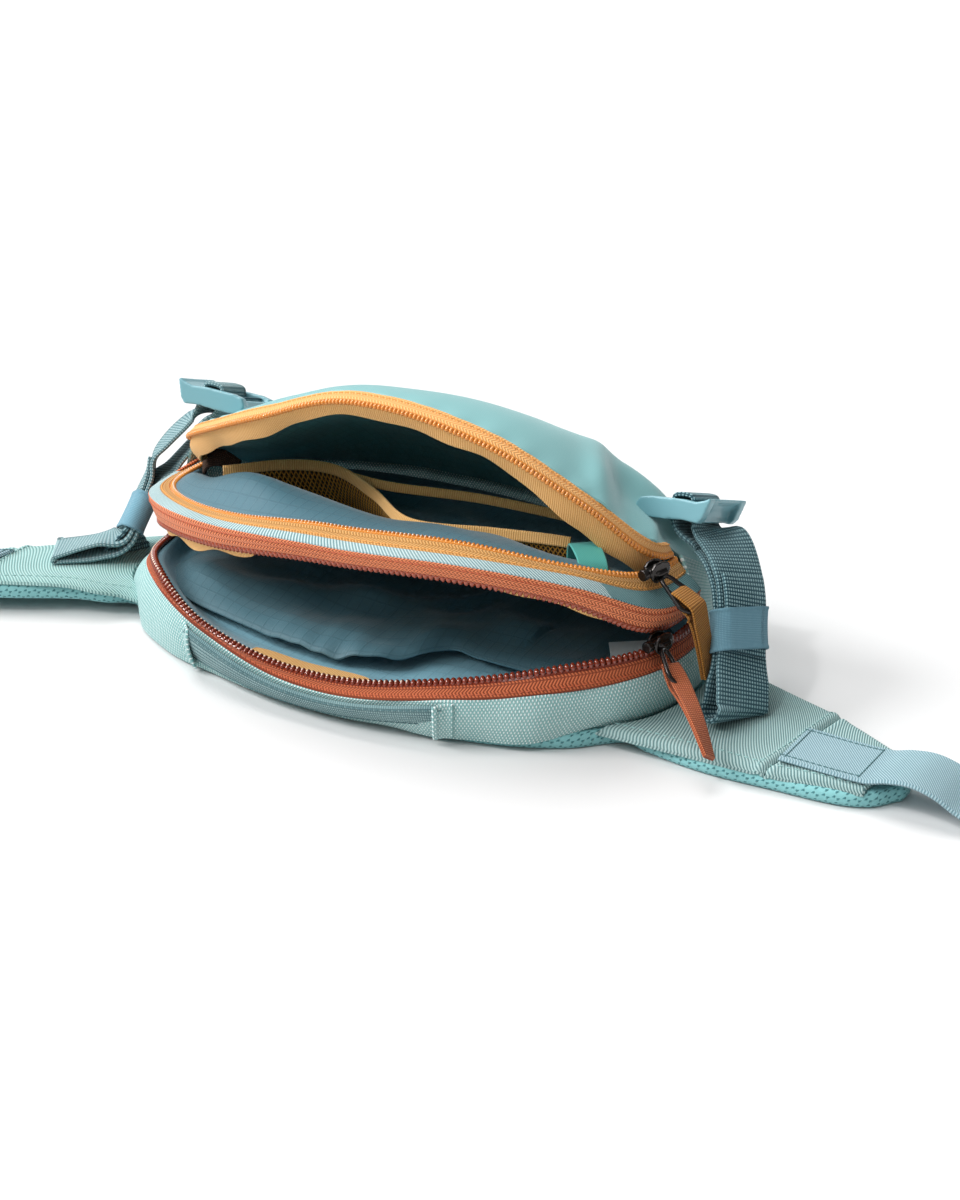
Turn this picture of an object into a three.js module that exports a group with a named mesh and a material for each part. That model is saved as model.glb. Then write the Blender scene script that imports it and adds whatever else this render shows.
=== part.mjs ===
// A padded hip pack lying on its back with both zips pulled open.
// Millimetres. The origin is the middle of the back pad's underside, +X runs along the belt,
// -Y is the pack's zip side and +Z is the pack's front.
import * as THREE from "three";

// Cloth and webbing thicknesses
const PAD = 6.5;
const COVER = 1.8;
const WALL = 1.4;
const TAPE = 1.2;
const LINING = 1.0;
const WEBBING = 1.8;
// Insets of a strip's edge: at a flat seam, and where a tape folds back over its seam
const SEAM = 0.45;
const FOLD_SEAM = 0.8;
const GAP = 0.3;

// Plan of the body: a rounded oval, straighter than an ellipse
const PLAN_Y = -18;
const PLAN_POWER = 2.25;
const ZIP_END = 94;
const GUSSET_START = 94.5;
const FAR_HALF_WIDTH = 119;
const FAR_DEPTH = 69;
const FOOT_Z = PAD + 1.1;
// Far wall: swell of its middle, and how its top sits outside and below the panel's seam
const GUSSET = { swell: 0.03, out: 1, below: 1.6 };
// Swell of the lower wall and of the narrow strips above it
const WALL_SWELL = 2.2;
const STRIP_SWELL = 0.6;

// Zip and webbing sizes
const COIL_RADIUS = 1.25;
const COIL_INSET = 1.75;
const BELT_WIDTH = 25;
const STRAP_WIDTH = 24;
const KEEPER = { length: 16, wall: 1.1, slackWide: 0.9, slackThick: 1.8, place: 0.44 };

const COLOURS = {
  mesh: [0x7dd3d3, 0.85, 0],
  twill: [0x8fb3ad, 0.9, 0],
  wall: [0x8cb9b9, 0.9, 0],
  aqua: [0xa5d6d5, 0.6, 0],
  rust: [0xcd6e4b, 0.8, 0],
  mustard: [0xe6a54b, 0.8, 0],
  lining: [0x5a8296, 0.7, 0],
  webbing: [0x557d87, 0.9, 0],
  belt: [0x87aab4, 0.9, 0],
  elastic: [0x7daabe, 0.9, 0],
  plastic: [0x82b4bc, 0.5, 0],
  gunmetal: [0x2a2a2c, 0.35, 0.9],
  label: [0xe6e6e2, 0.8, 0],
};

// Stations round the mouth in degrees: 0 is the middle of the zip side, minus is left
const STATIONS = [-106, -80, -50, -25, 0, 25, 50, 76, 106];
const LEVEL = [0, 0, 0, 0, 0, 0, 0, 0, 0];

// Edges that the zip side's strips run between, from the pad up.
// left, right and near: half sizes of the plan; out: how far the soft lip flops outward; z: height
const EDGES = {
  foot: { left: 116, right: 119, near: 69, out: LEVEL, z: STATIONS.map(() => FOOT_Z) },
  wallTop: {
    left: 115, right: 119, near: 70,
    out: [0, 1, 5, 11, 13, 8, 2, 0, 0],
    z: [18, 15, 22, 20, 12.5, 19, 23, 24.5, 25],
  },
  rustBase: {
    left: 115, right: 119, near: 70,
    out: [0, 1, 5, 11, 13, 8, 2, 0, 0],
    z: [19.5, 16.5, 23.5, 21.5, 14, 20.5, 24.5, 26, 26.5],
  },
  rustLower: {
    left: 113, right: 116, near: 66,
    out: [0, 1, 4, 7, 7, 4, 1, 0, 0],
    z: [24, 21, 26, 19, 15, 23, 30, 31.5, 31.5],
  },
  rustUpper: {
    left: 111, right: 114, near: 66, out: LEVEL,
    z: [29, 34, 45, 52, 60, 63, 56.5, 40, 36.5],
  },
  rustTop: {
    left: 119, right: 119, near: 69, out: LEVEL,
    z: [40, 44, 55, 60, 66, 69, 63, 49, 46],
  },
  mustardBase: {
    left: 112, right: 113, near: 66, out: LEVEL,
    z: [45, 49, 57, 62, 69, 72, 67, 55, 52],
  },
  mustardLower: {
    left: 106, right: 109, near: 58, out: LEVEL,
    z: [49, 50, 56, 62, 70.5, 74, 68, 60, 57],
  },
  mustardUpper: {
    left: 102, right: 108, near: 42, out: LEVEL,
    z: [58, 67, 81, 97, 114, 108, 89, 67, 62],
  },
  panelRim: {
    left: 99, right: 106, near: 34, out: LEVEL,
    z: [62, 71, 84, 99.5, 115, 109.5, 91, 71.5, 66],
  },
};

// Front panel: how sharply each section crowns before it falls to the far seam
const PANEL_SEAM_Z = 46;
const PANEL_HALF_WIDTH = 110;
const PANEL_DEPTH = 64;
const PANEL_CORNER = 112;
const PANEL_SEAM = { middle: 0.9, ends: 2.4, turn: 8 };
const CORNER_RISE = 14;
const CROWN = {
  u: [0, 0.18, 0.26, 0.36, 0.5, 0.66, 0.74, 0.82, 1],
  power: [0.8, 0.9, 1.4, 2.1, 1.7, 2.2, 1.4, 0.9, 0.8],
};

// Grab handle on the lower wall: its lower edge, its headings and how it hangs off the wall's top
const HANDLE = {
  from: -29, to: 24, stand: 2.6, drop: 1.2, swell: 0.8,
  low: {
    left: 118, right: 121, near: 73,
    out: [0, 0, 1, 2, 4, 2, 1, 0, 0],
    z: [8, 8, 6, 5, 4.2, 8.6, 9, 9, 9],
  },
};

// Half outline of the back pad with its wing: x, near edge, far edge
const PAD_OUTLINE = [
  { x: 0, near: -90, far: 54 },
  { x: 30, near: -88, far: 53 },
  { x: 58, near: -84, far: 50 },
  { x: 80, near: -77, far: 43 },
  { x: 96, near: -68, far: 35 },
  { x: 106, near: -58, far: 27 },
  { x: 112, near: -54, far: 21 },
  { x: 120, near: -56, far: 15 },
  { x: 146, near: -59, far: 5 },
  { x: 172, near: -58, far: -5 },
  { x: 196, near: -56, far: -16 },
  { x: 208, near: -51, far: -22 },
  { x: 214, near: -43, far: -32 },
];
const COVER_INSET = 1.5;
const COVER_SWELL = 0.6;
// Groove between a wing's cover and its tip
const COVER_GROOVE = 1;
// Line beside the body where the wing covers start: its two ends and its distance from the wall's foot
const WING_START = { near: -53, far: 14, stand: 5 };
const WING_SEAM = { near: 169, far: 176 };
const WING_TIP = { near: 205, far: 210 };
// The left wing swings towards the zip side, with its near edge raised off the floor
const LEFT_WING = [
  { x: 110, swing: 0, lift: 0 },
  { x: 119, swing: 9, lift: 0 },
  { x: 132, swing: 14, lift: 5 },
  { x: 154, swing: 26, lift: 6 },
  { x: 176, swing: 38, lift: 6 },
  { x: 214, swing: 50, lift: 4 },
  { x: 262, swing: 56, lift: 0 },
];

// Belt route past the wing tip: x and height
const BELT_ROUTE = [
  { x: 172, z: PAD + COVER + WEBBING / 2 + 3 * GAP },
  { x: 204, z: PAD + COVER + WEBBING / 2 + 3 * GAP },
  { x: 213, z: 12.5 },
  { x: 222, z: 13.5 },
  { x: 231, z: 11.5 },
  { x: 239, z: 7.5 },
  { x: 247, z: 4.8 },
  { x: 256, z: 4.2 },
];
const BELT_Y = { right: -38.5, left: -33 };
const CLIP = { length: 40, width: 33, thick: 7.6, slot: 4, corner: 5, taper: 3 };

// Inner pieces
const DIVIDER = { halfWidth: 113, near: 65.6, far: 60, farZ: 38, below: 3.2, sag: 7 };
const FLOOR_LINING = { halfWidth: 106, near: 58, far: 60, z: PAD + 1.4 };
// Folds of the floor lining: where each ridge runs and how high and wide it stands
const LINING_FOLDS = [
  { x: -45, y: -62, slope: -0.12, height: 7, wide: 13, long: 55 },
  { x: 45, y: -44, slope: 0.1, height: 6, wide: 12, long: 48 },
  { x: -5, y: -10, slope: 0.2, height: 5, wide: 16, long: 70 },
];
const POCKET_EDGE = [
  { x: -76, y: -40 },
  { x: -60, y: -24 },
  { x: -38, y: -18 },
  { x: -14, y: -28 },
  { x: 14, y: -46 },
  { x: 44, y: -36 },
  { x: 74, y: -30 },
];
const POCKET = { topZ: 63, drop: 9, footRise: 1.4, underBinding: 2, bindingRadius: 1.2 };
// Share of the oval's half width that a floor sheet spans
const SHEET_SPAN = 0.9;
// Part of the front panel that its lining covers, and how far below the panel it hangs
const FRONT_LINING = { below: 3.6, uEdge: 0.14, from: 0.24, to: 0.86 };
// Facing behind the front zip's upper lip: its headings, its wavy hem and how it hangs inside the lip
const FACING = { from: -76, to: 68, hem: 8, wave: 2, wavelength: 9, inset: 2.2, lean: 2.5, below: 1.2 };
const KEY_RIBBON = {
  route: [[78, -20, 66], [82, -30, 67.5], [87, -39, 66], [92, -46, 62]],
  across: [0.9, 0.43, 0], width: 12, thick: 1.2,
};
const CARE_LABEL = {
  foot: [92, -6], rise: 1.2, route: [[91, -4, 16], [89, -1, 21]],
  across: [0.95, 0.3, 0], width: 16, thick: 1,
};

// Ladder lock, in its own frame: x runs outward along the strap, y across, z out of the pack
const LOCK = { x: 106.5, y: 11, z: 71, pitch: 6, roll: -14, thick: 6.5, half: 18, corner: 2 };
const LOCK_SLOTS = [
  { from: -11, to: -7.4, reach: 13.1 },
  { from: -4, to: 0, reach: 13.4 },
  { from: 4, to: 8, reach: 13.7 },
];
const LOCK_REAR = -14;
const LOCK_FRONT = 8;
const LOCK_LIP = { reach: 17, half: 11.5, bendX: 5, bendY: 1 };
// Webbing routes in the lock's frame: the tab round the rear bar, and the strap over the middle bar
const LOCK_TAB_END = { right: -7.7, left: -10.1 };
const LOCK_TAB_ROUTE = [
  { x: -20, z: -7.7 },
  { x: -16.5, z: -6.7 },
  { x: -12.6, z: -5.6 },
  { x: -10.3, z: -4.6 },
  { x: -9.3, z: -2 },
  { x: -9.2, z: 3 },
];
const BAR_ROUTE = [
  { x: 3, z: -10 },
  { x: -0.5, z: -6.5 },
  { x: -2, z: -2 },
  { x: -2, z: 3.4 },
  { x: -0.6, z: 5.4 },
  { x: 4.6, z: 5.4 },
  { x: 6, z: 3.4 },
  { x: 6, z: -2 },
  { x: 8, z: -6 },
];

// Compression strap loops: the line midway between the two layers, from the lock to the foot.
// turn: heading of the webbing's width in degrees; split: spacing of the two layers
const STRAP_ROWS = {
  right: [
    { x: 124, y: 5, z: 59, turn: 62, split: 5 },
    { x: 132.5, y: -3.5, z: 48, turn: 34, split: 3.4 },
    { x: 135.5, y: -8, z: 42, turn: 26, split: 2.6 },
    { x: 139, y: -16, z: 25, turn: 26, split: 2.6 },
    { x: 142.5, y: -23, z: 18.2, turn: 26, split: 7 },
    { x: 146, y: -30, z: 13.2, turn: 26, split: 6 },
  ],
  left: [
    { x: -122, y: 4, z: 59, turn: 100, split: 8 },
    { x: -130, y: -10, z: 49, turn: 114, split: 8 },
    { x: -132, y: -18.5, z: 40, turn: 122, split: 2.6 },
    { x: -134, y: -31, z: 24, turn: 122, split: 2.6 },
    { x: -139, y: -40, z: 19, turn: 129, split: 5 },
    { x: -149, y: -51, z: 17.1, turn: 140, split: 5 },
  ],
};

// Zip pulls: the slider's bridge, the wire's end and the tab's tip
const PULLS = {
  rust: { slider: [115.6, -36.5, 36], wireEnd: [127, -47, 25.5], tabEnd: [149, -66, 11.2], heading: 76 },
  mustard: { slider: [111.5, -33, 62.5], wireEnd: [129, -34, 51], tabEnd: [130.5, -37, 26], heading: 74 },
};
const WIRE = { radius: 0.8, half: 4.2, points: 20 };
const TAB = { width: 9, thick: 2.2, bow: 2.5 };
// Slider: its widest radius, where along it the bridge sits, and its outline as radius and length
const SLIDER = { radius: 3.4, bridge: 7.8 };
const SLIDER_PROFILE = [
  [0, 0], [2.2, 0], [2.2, 5], [1.6, 5.6], [3.4, 7.4], [3, 10], [1.8, 11.6], [2.2, 13], [0, 13],
];

const rad = THREE.MathUtils.degToRad;
const vec = (x, y, z) => new THREE.Vector3(x, y, z);
const mix = (a, b, k) => a + (b - a) * k;
const hand = (side) => (side > 0 ? "right" : "left");
const pack = new THREE.Group();

function material(name) {
  const [color, roughness, metalness] = COLOURS[name];
  return new THREE.MeshStandardMaterial({ color, roughness, metalness });
}

function piece(name, look, geometry, parent = pack) {
  const mesh = new THREE.Mesh(geometry, material(look));
  mesh.name = name;
  parent.add(mesh);
  return mesh;
}

// Smooth curve through a row of values
function through(stations, values, at) {
  const last = stations.length - 1;
  let k = 0;
  while (k < last - 1 && at > stations[k + 1]) {
    k += 1;
  }
  const slope = (i) => {
    const a = Math.max(i - 1, 0);
    const b = Math.min(i + 1, last);
    return (values[b] - values[a]) / (stations[b] - stations[a]);
  };
  const span = stations[k + 1] - stations[k];
  const s = (at - stations[k]) / span;
  const rise = s * s * (3 - 2 * s);
  return mix(values[k], values[k + 1], rise)
    + span * (s * (1 - s) * (1 - s) * slope(k) - s * s * (1 - s) * slope(k + 1));
}

// Point of the plan oval at a heading in degrees, 0 towards the zip side
function plan(heading, halfWidth, depth) {
  const s = Math.sin(rad(heading));
  const c = Math.cos(rad(heading));
  const x = halfWidth * Math.sign(s) * Math.abs(s) ** (2 / PLAN_POWER);
  const y = PLAN_Y - depth * Math.sign(c) * Math.abs(c) ** (2 / PLAN_POWER);
  return [x, y];
}

// Y of the plan oval at x, on the zip side (side -1) or the far side (side 1)
function planY(x, halfWidth, depth, side) {
  const rest = Math.max(0, 1 - Math.abs(x / halfWidth) ** PLAN_POWER);
  return PLAN_Y + side * depth * rest ** (1 / PLAN_POWER);
}

function edgePoint(edge, heading) {
  const out = through(STATIONS, edge.out, heading);
  const half = (heading < 0 ? edge.left : edge.right) + out / 2;
  const [x, y] = plan(heading, half, edge.near + out);
  return vec(x, y, through(STATIONS, edge.z, heading));
}

function steps(from, to, count) {
  return Array.from({ length: count + 1 }, (_, i) => mix(from, to, i / count));
}

function bufferGeometry(points, faces) {
  const geometry = new THREE.BufferGeometry();
  const values = points.flatMap((p) => [p.x, p.y, p.z]);
  geometry.setAttribute("position", new THREE.Float32BufferAttribute(values, 3));
  geometry.setIndex(faces.flat());
  geometry.computeVertexNormals();
  return geometry;
}

// Closed cloth of even thickness about a grid of middle points
function cloth(grid, thick) {
  const rows = grid.length;
  const cols = grid[0].length;
  const points = [];
  const faces = [];
  const at = (i, j, top) => (i * cols + j) * 2 + top;
  for (let i = 0; i < rows; i += 1) {
    for (let j = 0; j < cols; j += 1) {
      const along = grid[Math.min(i + 1, rows - 1)][j].clone().sub(grid[Math.max(i - 1, 0)][j]);
      const across = grid[i][Math.min(j + 1, cols - 1)].clone().sub(grid[i][Math.max(j - 1, 0)]);
      const offset = along.cross(across).setLength(thick / 2);
      points.push(grid[i][j].clone().sub(offset), grid[i][j].clone().add(offset));
    }
  }
  const quad = (a, b, c, d) => faces.push([a, b, c], [a, c, d]);
  for (let i = 0; i < rows - 1; i += 1) {
    for (let j = 0; j < cols - 1; j += 1) {
      quad(at(i, j, 1), at(i + 1, j, 1), at(i + 1, j + 1, 1), at(i, j + 1, 1));
      quad(at(i, j, 0), at(i, j + 1, 0), at(i + 1, j + 1, 0), at(i + 1, j, 0));
    }
    quad(at(i, 0, 0), at(i + 1, 0, 0), at(i + 1, 0, 1), at(i, 0, 1));
    quad(at(i, cols - 1, 1), at(i + 1, cols - 1, 1), at(i + 1, cols - 1, 0), at(i, cols - 1, 0));
  }
  for (let j = 0; j < cols - 1; j += 1) {
    quad(at(0, j, 0), at(0, j, 1), at(0, j + 1, 1), at(0, j + 1, 0));
    quad(at(rows - 1, j, 1), at(rows - 1, j, 0), at(rows - 1, j + 1, 0), at(rows - 1, j + 1, 1));
  }
  return bufferGeometry(points, faces);
}

// Round rod along points, open with flat ends or closed into a ring
function rod(points, radius, sides, ring = false) {
  const count = points.length;
  const verts = [];
  const faces = [];
  const tangent = (i) => {
    const a = ring ? points[(i + count - 1) % count] : points[Math.max(i - 1, 0)];
    const b = ring ? points[(i + 1) % count] : points[Math.min(i + 1, count - 1)];
    return b.clone().sub(a).normalize();
  };
  const first = tangent(0);
  let normal = Math.abs(first.z) < 0.9 ? vec(0, 0, 1) : vec(1, 0, 0);
  for (let i = 0; i < count; i += 1) {
    const dir = tangent(i);
    normal = normal.clone().addScaledVector(dir, -normal.dot(dir)).normalize();
    const side = dir.clone().cross(normal);
    for (let k = 0; k < sides; k += 1) {
      const turn = (2 * Math.PI * k) / sides;
      verts.push(points[i].clone()
        .addScaledVector(normal, radius * Math.cos(turn))
        .addScaledVector(side, radius * Math.sin(turn)));
    }
  }
  const lengths = ring ? count : count - 1;
  for (let i = 0; i < lengths; i += 1) {
    const next = ((i + 1) % count) * sides;
    for (let k = 0; k < sides; k += 1) {
      const l = (k + 1) % sides;
      faces.push([i * sides + k, next + l, next + k], [i * sides + k, i * sides + l, next + l]);
    }
  }
  if (!ring) {
    for (let k = 1; k < sides - 1; k += 1) {
      const end = (count - 1) * sides;
      faces.push([0, k + 1, k], [end, end + k, end + k + 1]);
    }
  }
  return bufferGeometry(verts, faces);
}

// Strip of cloth between two edges of the zip side, inset from each and swelling outward
function strip(low, high, options) {
  const { insetLow, insetHigh, swell, thick, cols = 3, from = -ZIP_END, to = ZIP_END, count = 26 } = options;
  const grid = steps(from, to, count).map((heading) => {
    const a = edgePoint(low, heading);
    const b = edgePoint(high, heading);
    const rise = b.clone().sub(a);
    const length = rise.length();
    const [ox, oy] = plan(heading, 1, 1);
    const out = vec(ox, oy - PLAN_Y, 0).normalize();
    return steps(insetLow / length, 1 - insetHigh / length, cols - 1).map((k) => (
      a.clone().addScaledVector(rise, k).addScaledVector(out, swell * 4 * k * (1 - k))
    ));
  });
  return cloth(grid, thick);
}

function coil(edge) {
  const points = steps(-ZIP_END, ZIP_END, 28).map((heading) => edgePoint(edge, heading));
  return rod(points, COIL_RADIUS, 5);
}

// Moves a point of a wing: mirrored and flopped on the left
function wingPoint(side, x, y, z) {
  if (side > 0) {
    return vec(x, y, z);
  }
  const rows = LEFT_WING.map((row) => row.x);
  const at = THREE.MathUtils.clamp(x, rows[0], rows[rows.length - 1]);
  const swing = through(rows, LEFT_WING.map((row) => row.swing), at);
  const lift = through(rows, LEFT_WING.map((row) => row.lift), at);
  const outline = THREE.MathUtils.clamp(x, 0, PAD_OUTLINE[PAD_OUTLINE.length - 1].x);
  const far = padEdge(outline, "far");
  const share = THREE.MathUtils.clamp((far - y) / (far - padEdge(outline, "near")), 0, 1);
  return vec(-x, y - swing, z + lift * share);
}

function padEdge(x, column) {
  return through(PAD_OUTLINE.map((row) => row.x), PAD_OUTLINE.map((row) => row[column]), x);
}

function backPad() {
  const half = PAD_OUTLINE.map((row) => row.x);
  const stations = [...half.slice(1).reverse().map((x) => [-1, x]), ...half.map((x) => [1, x])];
  const grid = stations.map(([side, x]) => (
    steps(padEdge(x, "near"), padEdge(x, "far"), 4).map((y) => wingPoint(side, x, y, PAD / 2))
  ));
  return cloth(grid, PAD);
}

// Wing panel between an inner and an outer line, each given as a function of k from near to far
function wingPanel(side, inner, outer, swell) {
  const z = PAD + GAP + COVER / 2;
  const grid = steps(0, 1, 6).map((u) => steps(0, 1, 5).map((k) => {
    const [x0, y0] = inner(k);
    const [x1, y1] = outer(k);
    const rise = swell * 16 * u * (1 - u) * k * (1 - k);
    return wingPoint(side, mix(x0, x1, u), mix(y0, y1, u), z + rise);
  }));
  return cloth(side > 0 ? grid : grid.map((row) => [...row].reverse()), COVER);
}

function crossLine(row, inset) {
  return (k) => {
    const x = mix(row.near, row.far, k);
    return [x, mix(padEdge(x, "near") + inset, padEdge(x, "far") - inset, k)];
  };
}

function wallLine(k) {
  const { near, far, stand } = WING_START;
  const y = mix(near, far, k);
  const rest = 1 - Math.abs((y - PLAN_Y) / (FAR_DEPTH + stand)) ** PLAN_POWER;
  return [(FAR_HALF_WIDTH + stand) * rest ** (1 / PLAN_POWER), y];
}

// Flat webbing along points, each with its own across direction
function ribbon(points, across, width, thick) {
  const grid = points.map((p, i) => [
    p.clone().addScaledVector(across[i], -width / 2),
    p.clone().addScaledVector(across[i], width / 2),
  ]);
  return cloth(grid, thick);
}

function belt(side) {
  const xs = BELT_ROUTE.map((row) => row.x);
  const zs = BELT_ROUTE.map((row) => row.z);
  const half = (side * BELT_WIDTH) / 2;
  const grid = steps(xs[0], xs[xs.length - 1], 16).map((x) => (
    [-half, half].map((across) => wingPoint(side, x, BELT_Y[hand(side)] + across, through(xs, zs, x)))
  ));
  return cloth(grid, WEBBING);
}

function clip(side) {
  const { length, width, thick, slot, corner, taper } = CLIP;
  const shape = new THREE.Shape();
  const endHalf = width / 2 - taper;
  shape.moveTo(0, -width / 2);
  shape.lineTo(length - corner, -endHalf);
  shape.absarc(length - corner, corner - endHalf, corner, -Math.PI / 2, 0);
  shape.absarc(length - corner, endHalf - corner, corner, 0, Math.PI / 2);
  shape.lineTo(0, width / 2);
  shape.closePath();
  const hole = new THREE.Path();
  hole.moveTo(slot, -BELT_WIDTH / 2);
  hole.lineTo(slot, BELT_WIDTH / 2);
  hole.lineTo(2 * slot, BELT_WIDTH / 2);
  hole.lineTo(2 * slot, -BELT_WIDTH / 2);
  hole.closePath();
  shape.holes.push(hole);
  const settings = { depth: thick, bevelEnabled: false, curveSegments: 6 };
  const geometry = new THREE.ExtrudeGeometry(shape, settings);
  const end = BELT_ROUTE[BELT_ROUTE.length - 1];
  const place = wingPoint(side, end.x + GAP, BELT_Y[hand(side)], end.z - thick / 2);
  const mesh = piece(`belt_clip_${hand(side)}`, "plastic", geometry);
  mesh.position.copy(place);
  mesh.rotation.z = side > 0 ? 0 : Math.PI;
}

// Front panel and, inset, its lining: sections from the zip rim over the crown to the far seam
function panelPoint(u, v, below) {
  const rim = edgePoint(EDGES.panelRim, mix(-ZIP_END, ZIP_END, u));
  const [fx, fy] = plan(-PANEL_CORNER - u * (360 - 2 * PANEL_CORNER), PANEL_HALF_WIDTH, PANEL_DEPTH);
  const fall = 1 - v ** through(CROWN.u, CROWN.power, u);
  return vec(mix(rim.x, fx, v), mix(rim.y, fy, v), mix(PANEL_SEAM_Z, rim.z, fall) - below);
}

function panelCloth({ thick, below, uEdge, from, to, rows, cols }) {
  const grid = steps(uEdge, 1 - uEdge, rows).map((u) => (
    steps(from(u), to, cols).map((v) => panelPoint(u, v, below))
  ));
  return cloth(grid, thick);
}

// Share of a panel section that the seam at its rim takes up
function rimInset(u) {
  const inset = mix(PANEL_SEAM.middle, PANEL_SEAM.ends, (2 * u - 1) ** PANEL_SEAM.turn);
  return inset / panelPoint(u, 0, 0).distanceTo(panelPoint(u, 1, 0));
}

function bottomGusset() {
  const grid = steps(GUSSET_START, 360 - GUSSET_START, 22).map((heading) => (
    steps(0, 1, 4).map((k) => {
      const [fx, fy] = plan(heading, FAR_HALF_WIDTH, FAR_DEPTH);
      const [sx, sy] = plan(heading, PANEL_HALF_WIDTH + GUSSET.out, PANEL_DEPTH + GUSSET.out);
      const swell = 1 + GUSSET.swell * 4 * k * (1 - k);
      const x = mix(fx, sx, k) * swell;
      const y = PLAN_Y + (mix(fy, sy, k) - PLAN_Y) * swell;
      const short = PANEL_CORNER - Math.min(heading, 360 - heading);
      const corner = Math.max(0, short / (PANEL_CORNER - GUSSET_START));
      return vec(x, y, mix(FOOT_Z, PANEL_SEAM_Z - GUSSET.below + CORNER_RISE * corner, k));
    })
  ));
  return cloth(grid, WALL);
}

function grabHandle() {
  const top = EDGES.wallTop;
  const { stand, drop, swell, from, to } = HANDLE;
  const high = {
    left: top.left + stand, right: top.right + stand, near: top.near + stand, out: top.out,
    z: top.z.map((z) => z - drop),
  };
  return strip(HANDLE.low, high, {
    insetLow: 0, insetHigh: 0, swell, thick: WEBBING, from, to, count: 14,
  });
}

function dividerZ(x, y) {
  const near = planY(x, DIVIDER.halfWidth, DIVIDER.near, -1);
  const far = planY(x, DIVIDER.halfWidth, DIVIDER.far, 1);
  const sine = Math.abs(x / DIVIDER.halfWidth) ** (PLAN_POWER / 2);
  const heading = Math.sign(x) * THREE.MathUtils.radToDeg(Math.asin(sine));
  const nearZ = through(STATIONS, EDGES.rustTop.z, heading) - DIVIDER.below;
  const k = Math.min(1, Math.max(0, (y - near) / Math.max(1, far - near)));
  return mix(nearZ, DIVIDER.farZ, k) - DIVIDER.sag * Math.sin(Math.PI * k);
}

// Sheet that fills the plan oval between two depths
function planSheet({ halfWidth, near, far }, height, rows, cols) {
  const reach = halfWidth * SHEET_SPAN;
  const grid = steps(-reach, reach, rows).map((x) => (
    steps(planY(x, halfWidth, near, -1), planY(x, halfWidth, far, 1), cols)
      .map((y) => vec(x, y, height(x, y)))
  ));
  return cloth(grid, LINING);
}

function floorZ(x, y) {
  return LINING_FOLDS.reduce((z, fold) => {
    const off = (y - fold.y - fold.slope * (x - fold.x)) / fold.wide;
    const end = (x - fold.x) / fold.long;
    return z + fold.height * Math.exp(-off * off - end * end);
  }, FLOOR_LINING.z);
}

function pocketTop(x) {
  return vec(x, through(POCKET_EDGE.map((row) => row.x), POCKET_EDGE.map((row) => row.y), x), POCKET.topZ);
}

function meshPocket() {
  const first = POCKET_EDGE[0].x;
  const last = POCKET_EDGE[POCKET_EDGE.length - 1].x;
  const grid = steps(first, last, 18).map((x) => {
    const top = pocketTop(x);
    const footY = top.y + POCKET.drop;
    const foot = vec(x, footY, dividerZ(x, footY) + POCKET.footRise);
    top.z -= POCKET.underBinding;
    return steps(0, 1, 2).map((k) => foot.clone().lerp(top, k));
  });
  return cloth(grid, LINING);
}

function pocketBinding() {
  const first = POCKET_EDGE[0].x;
  const last = POCKET_EDGE[POCKET_EDGE.length - 1].x;
  return rod(steps(first, last, 20).map(pocketTop), POCKET.bindingRadius, 5);
}

// Facing that hangs inside the front zip's upper lip, with a slack wavy hem
function mustardFacing() {
  const { from, to, hem, wave, wavelength, inset, lean, below } = FACING;
  const grid = steps(from, to, 26).map((heading) => {
    const top = edgePoint(EDGES.mustardUpper, heading);
    const [ox, oy] = plan(heading, 1, 1);
    const inward = vec(-ox, PLAN_Y - oy, 0).normalize();
    const drop = hem + wave * Math.sin(heading / wavelength);
    return steps(0, 1, 2).map((k) => (
      top.clone().addScaledVector(inward, inset + lean * k).add(vec(0, 0, -below - drop * k))
    ));
  });
  return cloth(grid, LINING);
}

function lockMatrix(side) {
  const turn = new THREE.Euler(rad(LOCK.roll), rad(-LOCK.pitch), 0);
  const base = new THREE.Matrix4().makeRotationFromEuler(turn).setPosition(LOCK.x, LOCK.y, LOCK.z);
  return side > 0 ? base : new THREE.Matrix4().makeScale(-1, 1, 1).multiply(base);
}

function lock(side) {
  const shape = new THREE.Shape();
  const { half, corner } = LOCK;
  const bendX = LOCK_FRONT + LOCK_LIP.bendX;
  const bendY = half - LOCK_LIP.bendY;
  shape.moveTo(LOCK_REAR, corner - half);
  shape.quadraticCurveTo(LOCK_REAR, -half, LOCK_REAR + corner, -half);
  shape.lineTo(LOCK_FRONT, -half);
  shape.quadraticCurveTo(bendX, -bendY, LOCK_LIP.reach, -LOCK_LIP.half);
  shape.lineTo(LOCK_LIP.reach, LOCK_LIP.half);
  shape.quadraticCurveTo(bendX, bendY, LOCK_FRONT, half);
  shape.lineTo(LOCK_REAR + corner, half);
  shape.quadraticCurveTo(LOCK_REAR, half, LOCK_REAR, half - corner);
  shape.closePath();
  for (const { from, to, reach } of LOCK_SLOTS) {
    const slot = new THREE.Path();
    slot.moveTo(from, -reach);
    slot.lineTo(from, reach);
    slot.lineTo(to, reach);
    slot.lineTo(to, -reach);
    slot.closePath();
    shape.holes.push(slot);
  }
  const settings = { depth: LOCK.thick, bevelEnabled: false, curveSegments: 5 };
  const geometry = new THREE.ExtrudeGeometry(shape, settings);
  geometry.translate(0, 0, -LOCK.thick / 2);
  const mesh = piece(`lock_${hand(side)}`, "plastic", geometry);
  mesh.applyMatrix4(lockMatrix(side).multiply(new THREE.Matrix4().makeScale(1, side, 1)));
}

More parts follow.
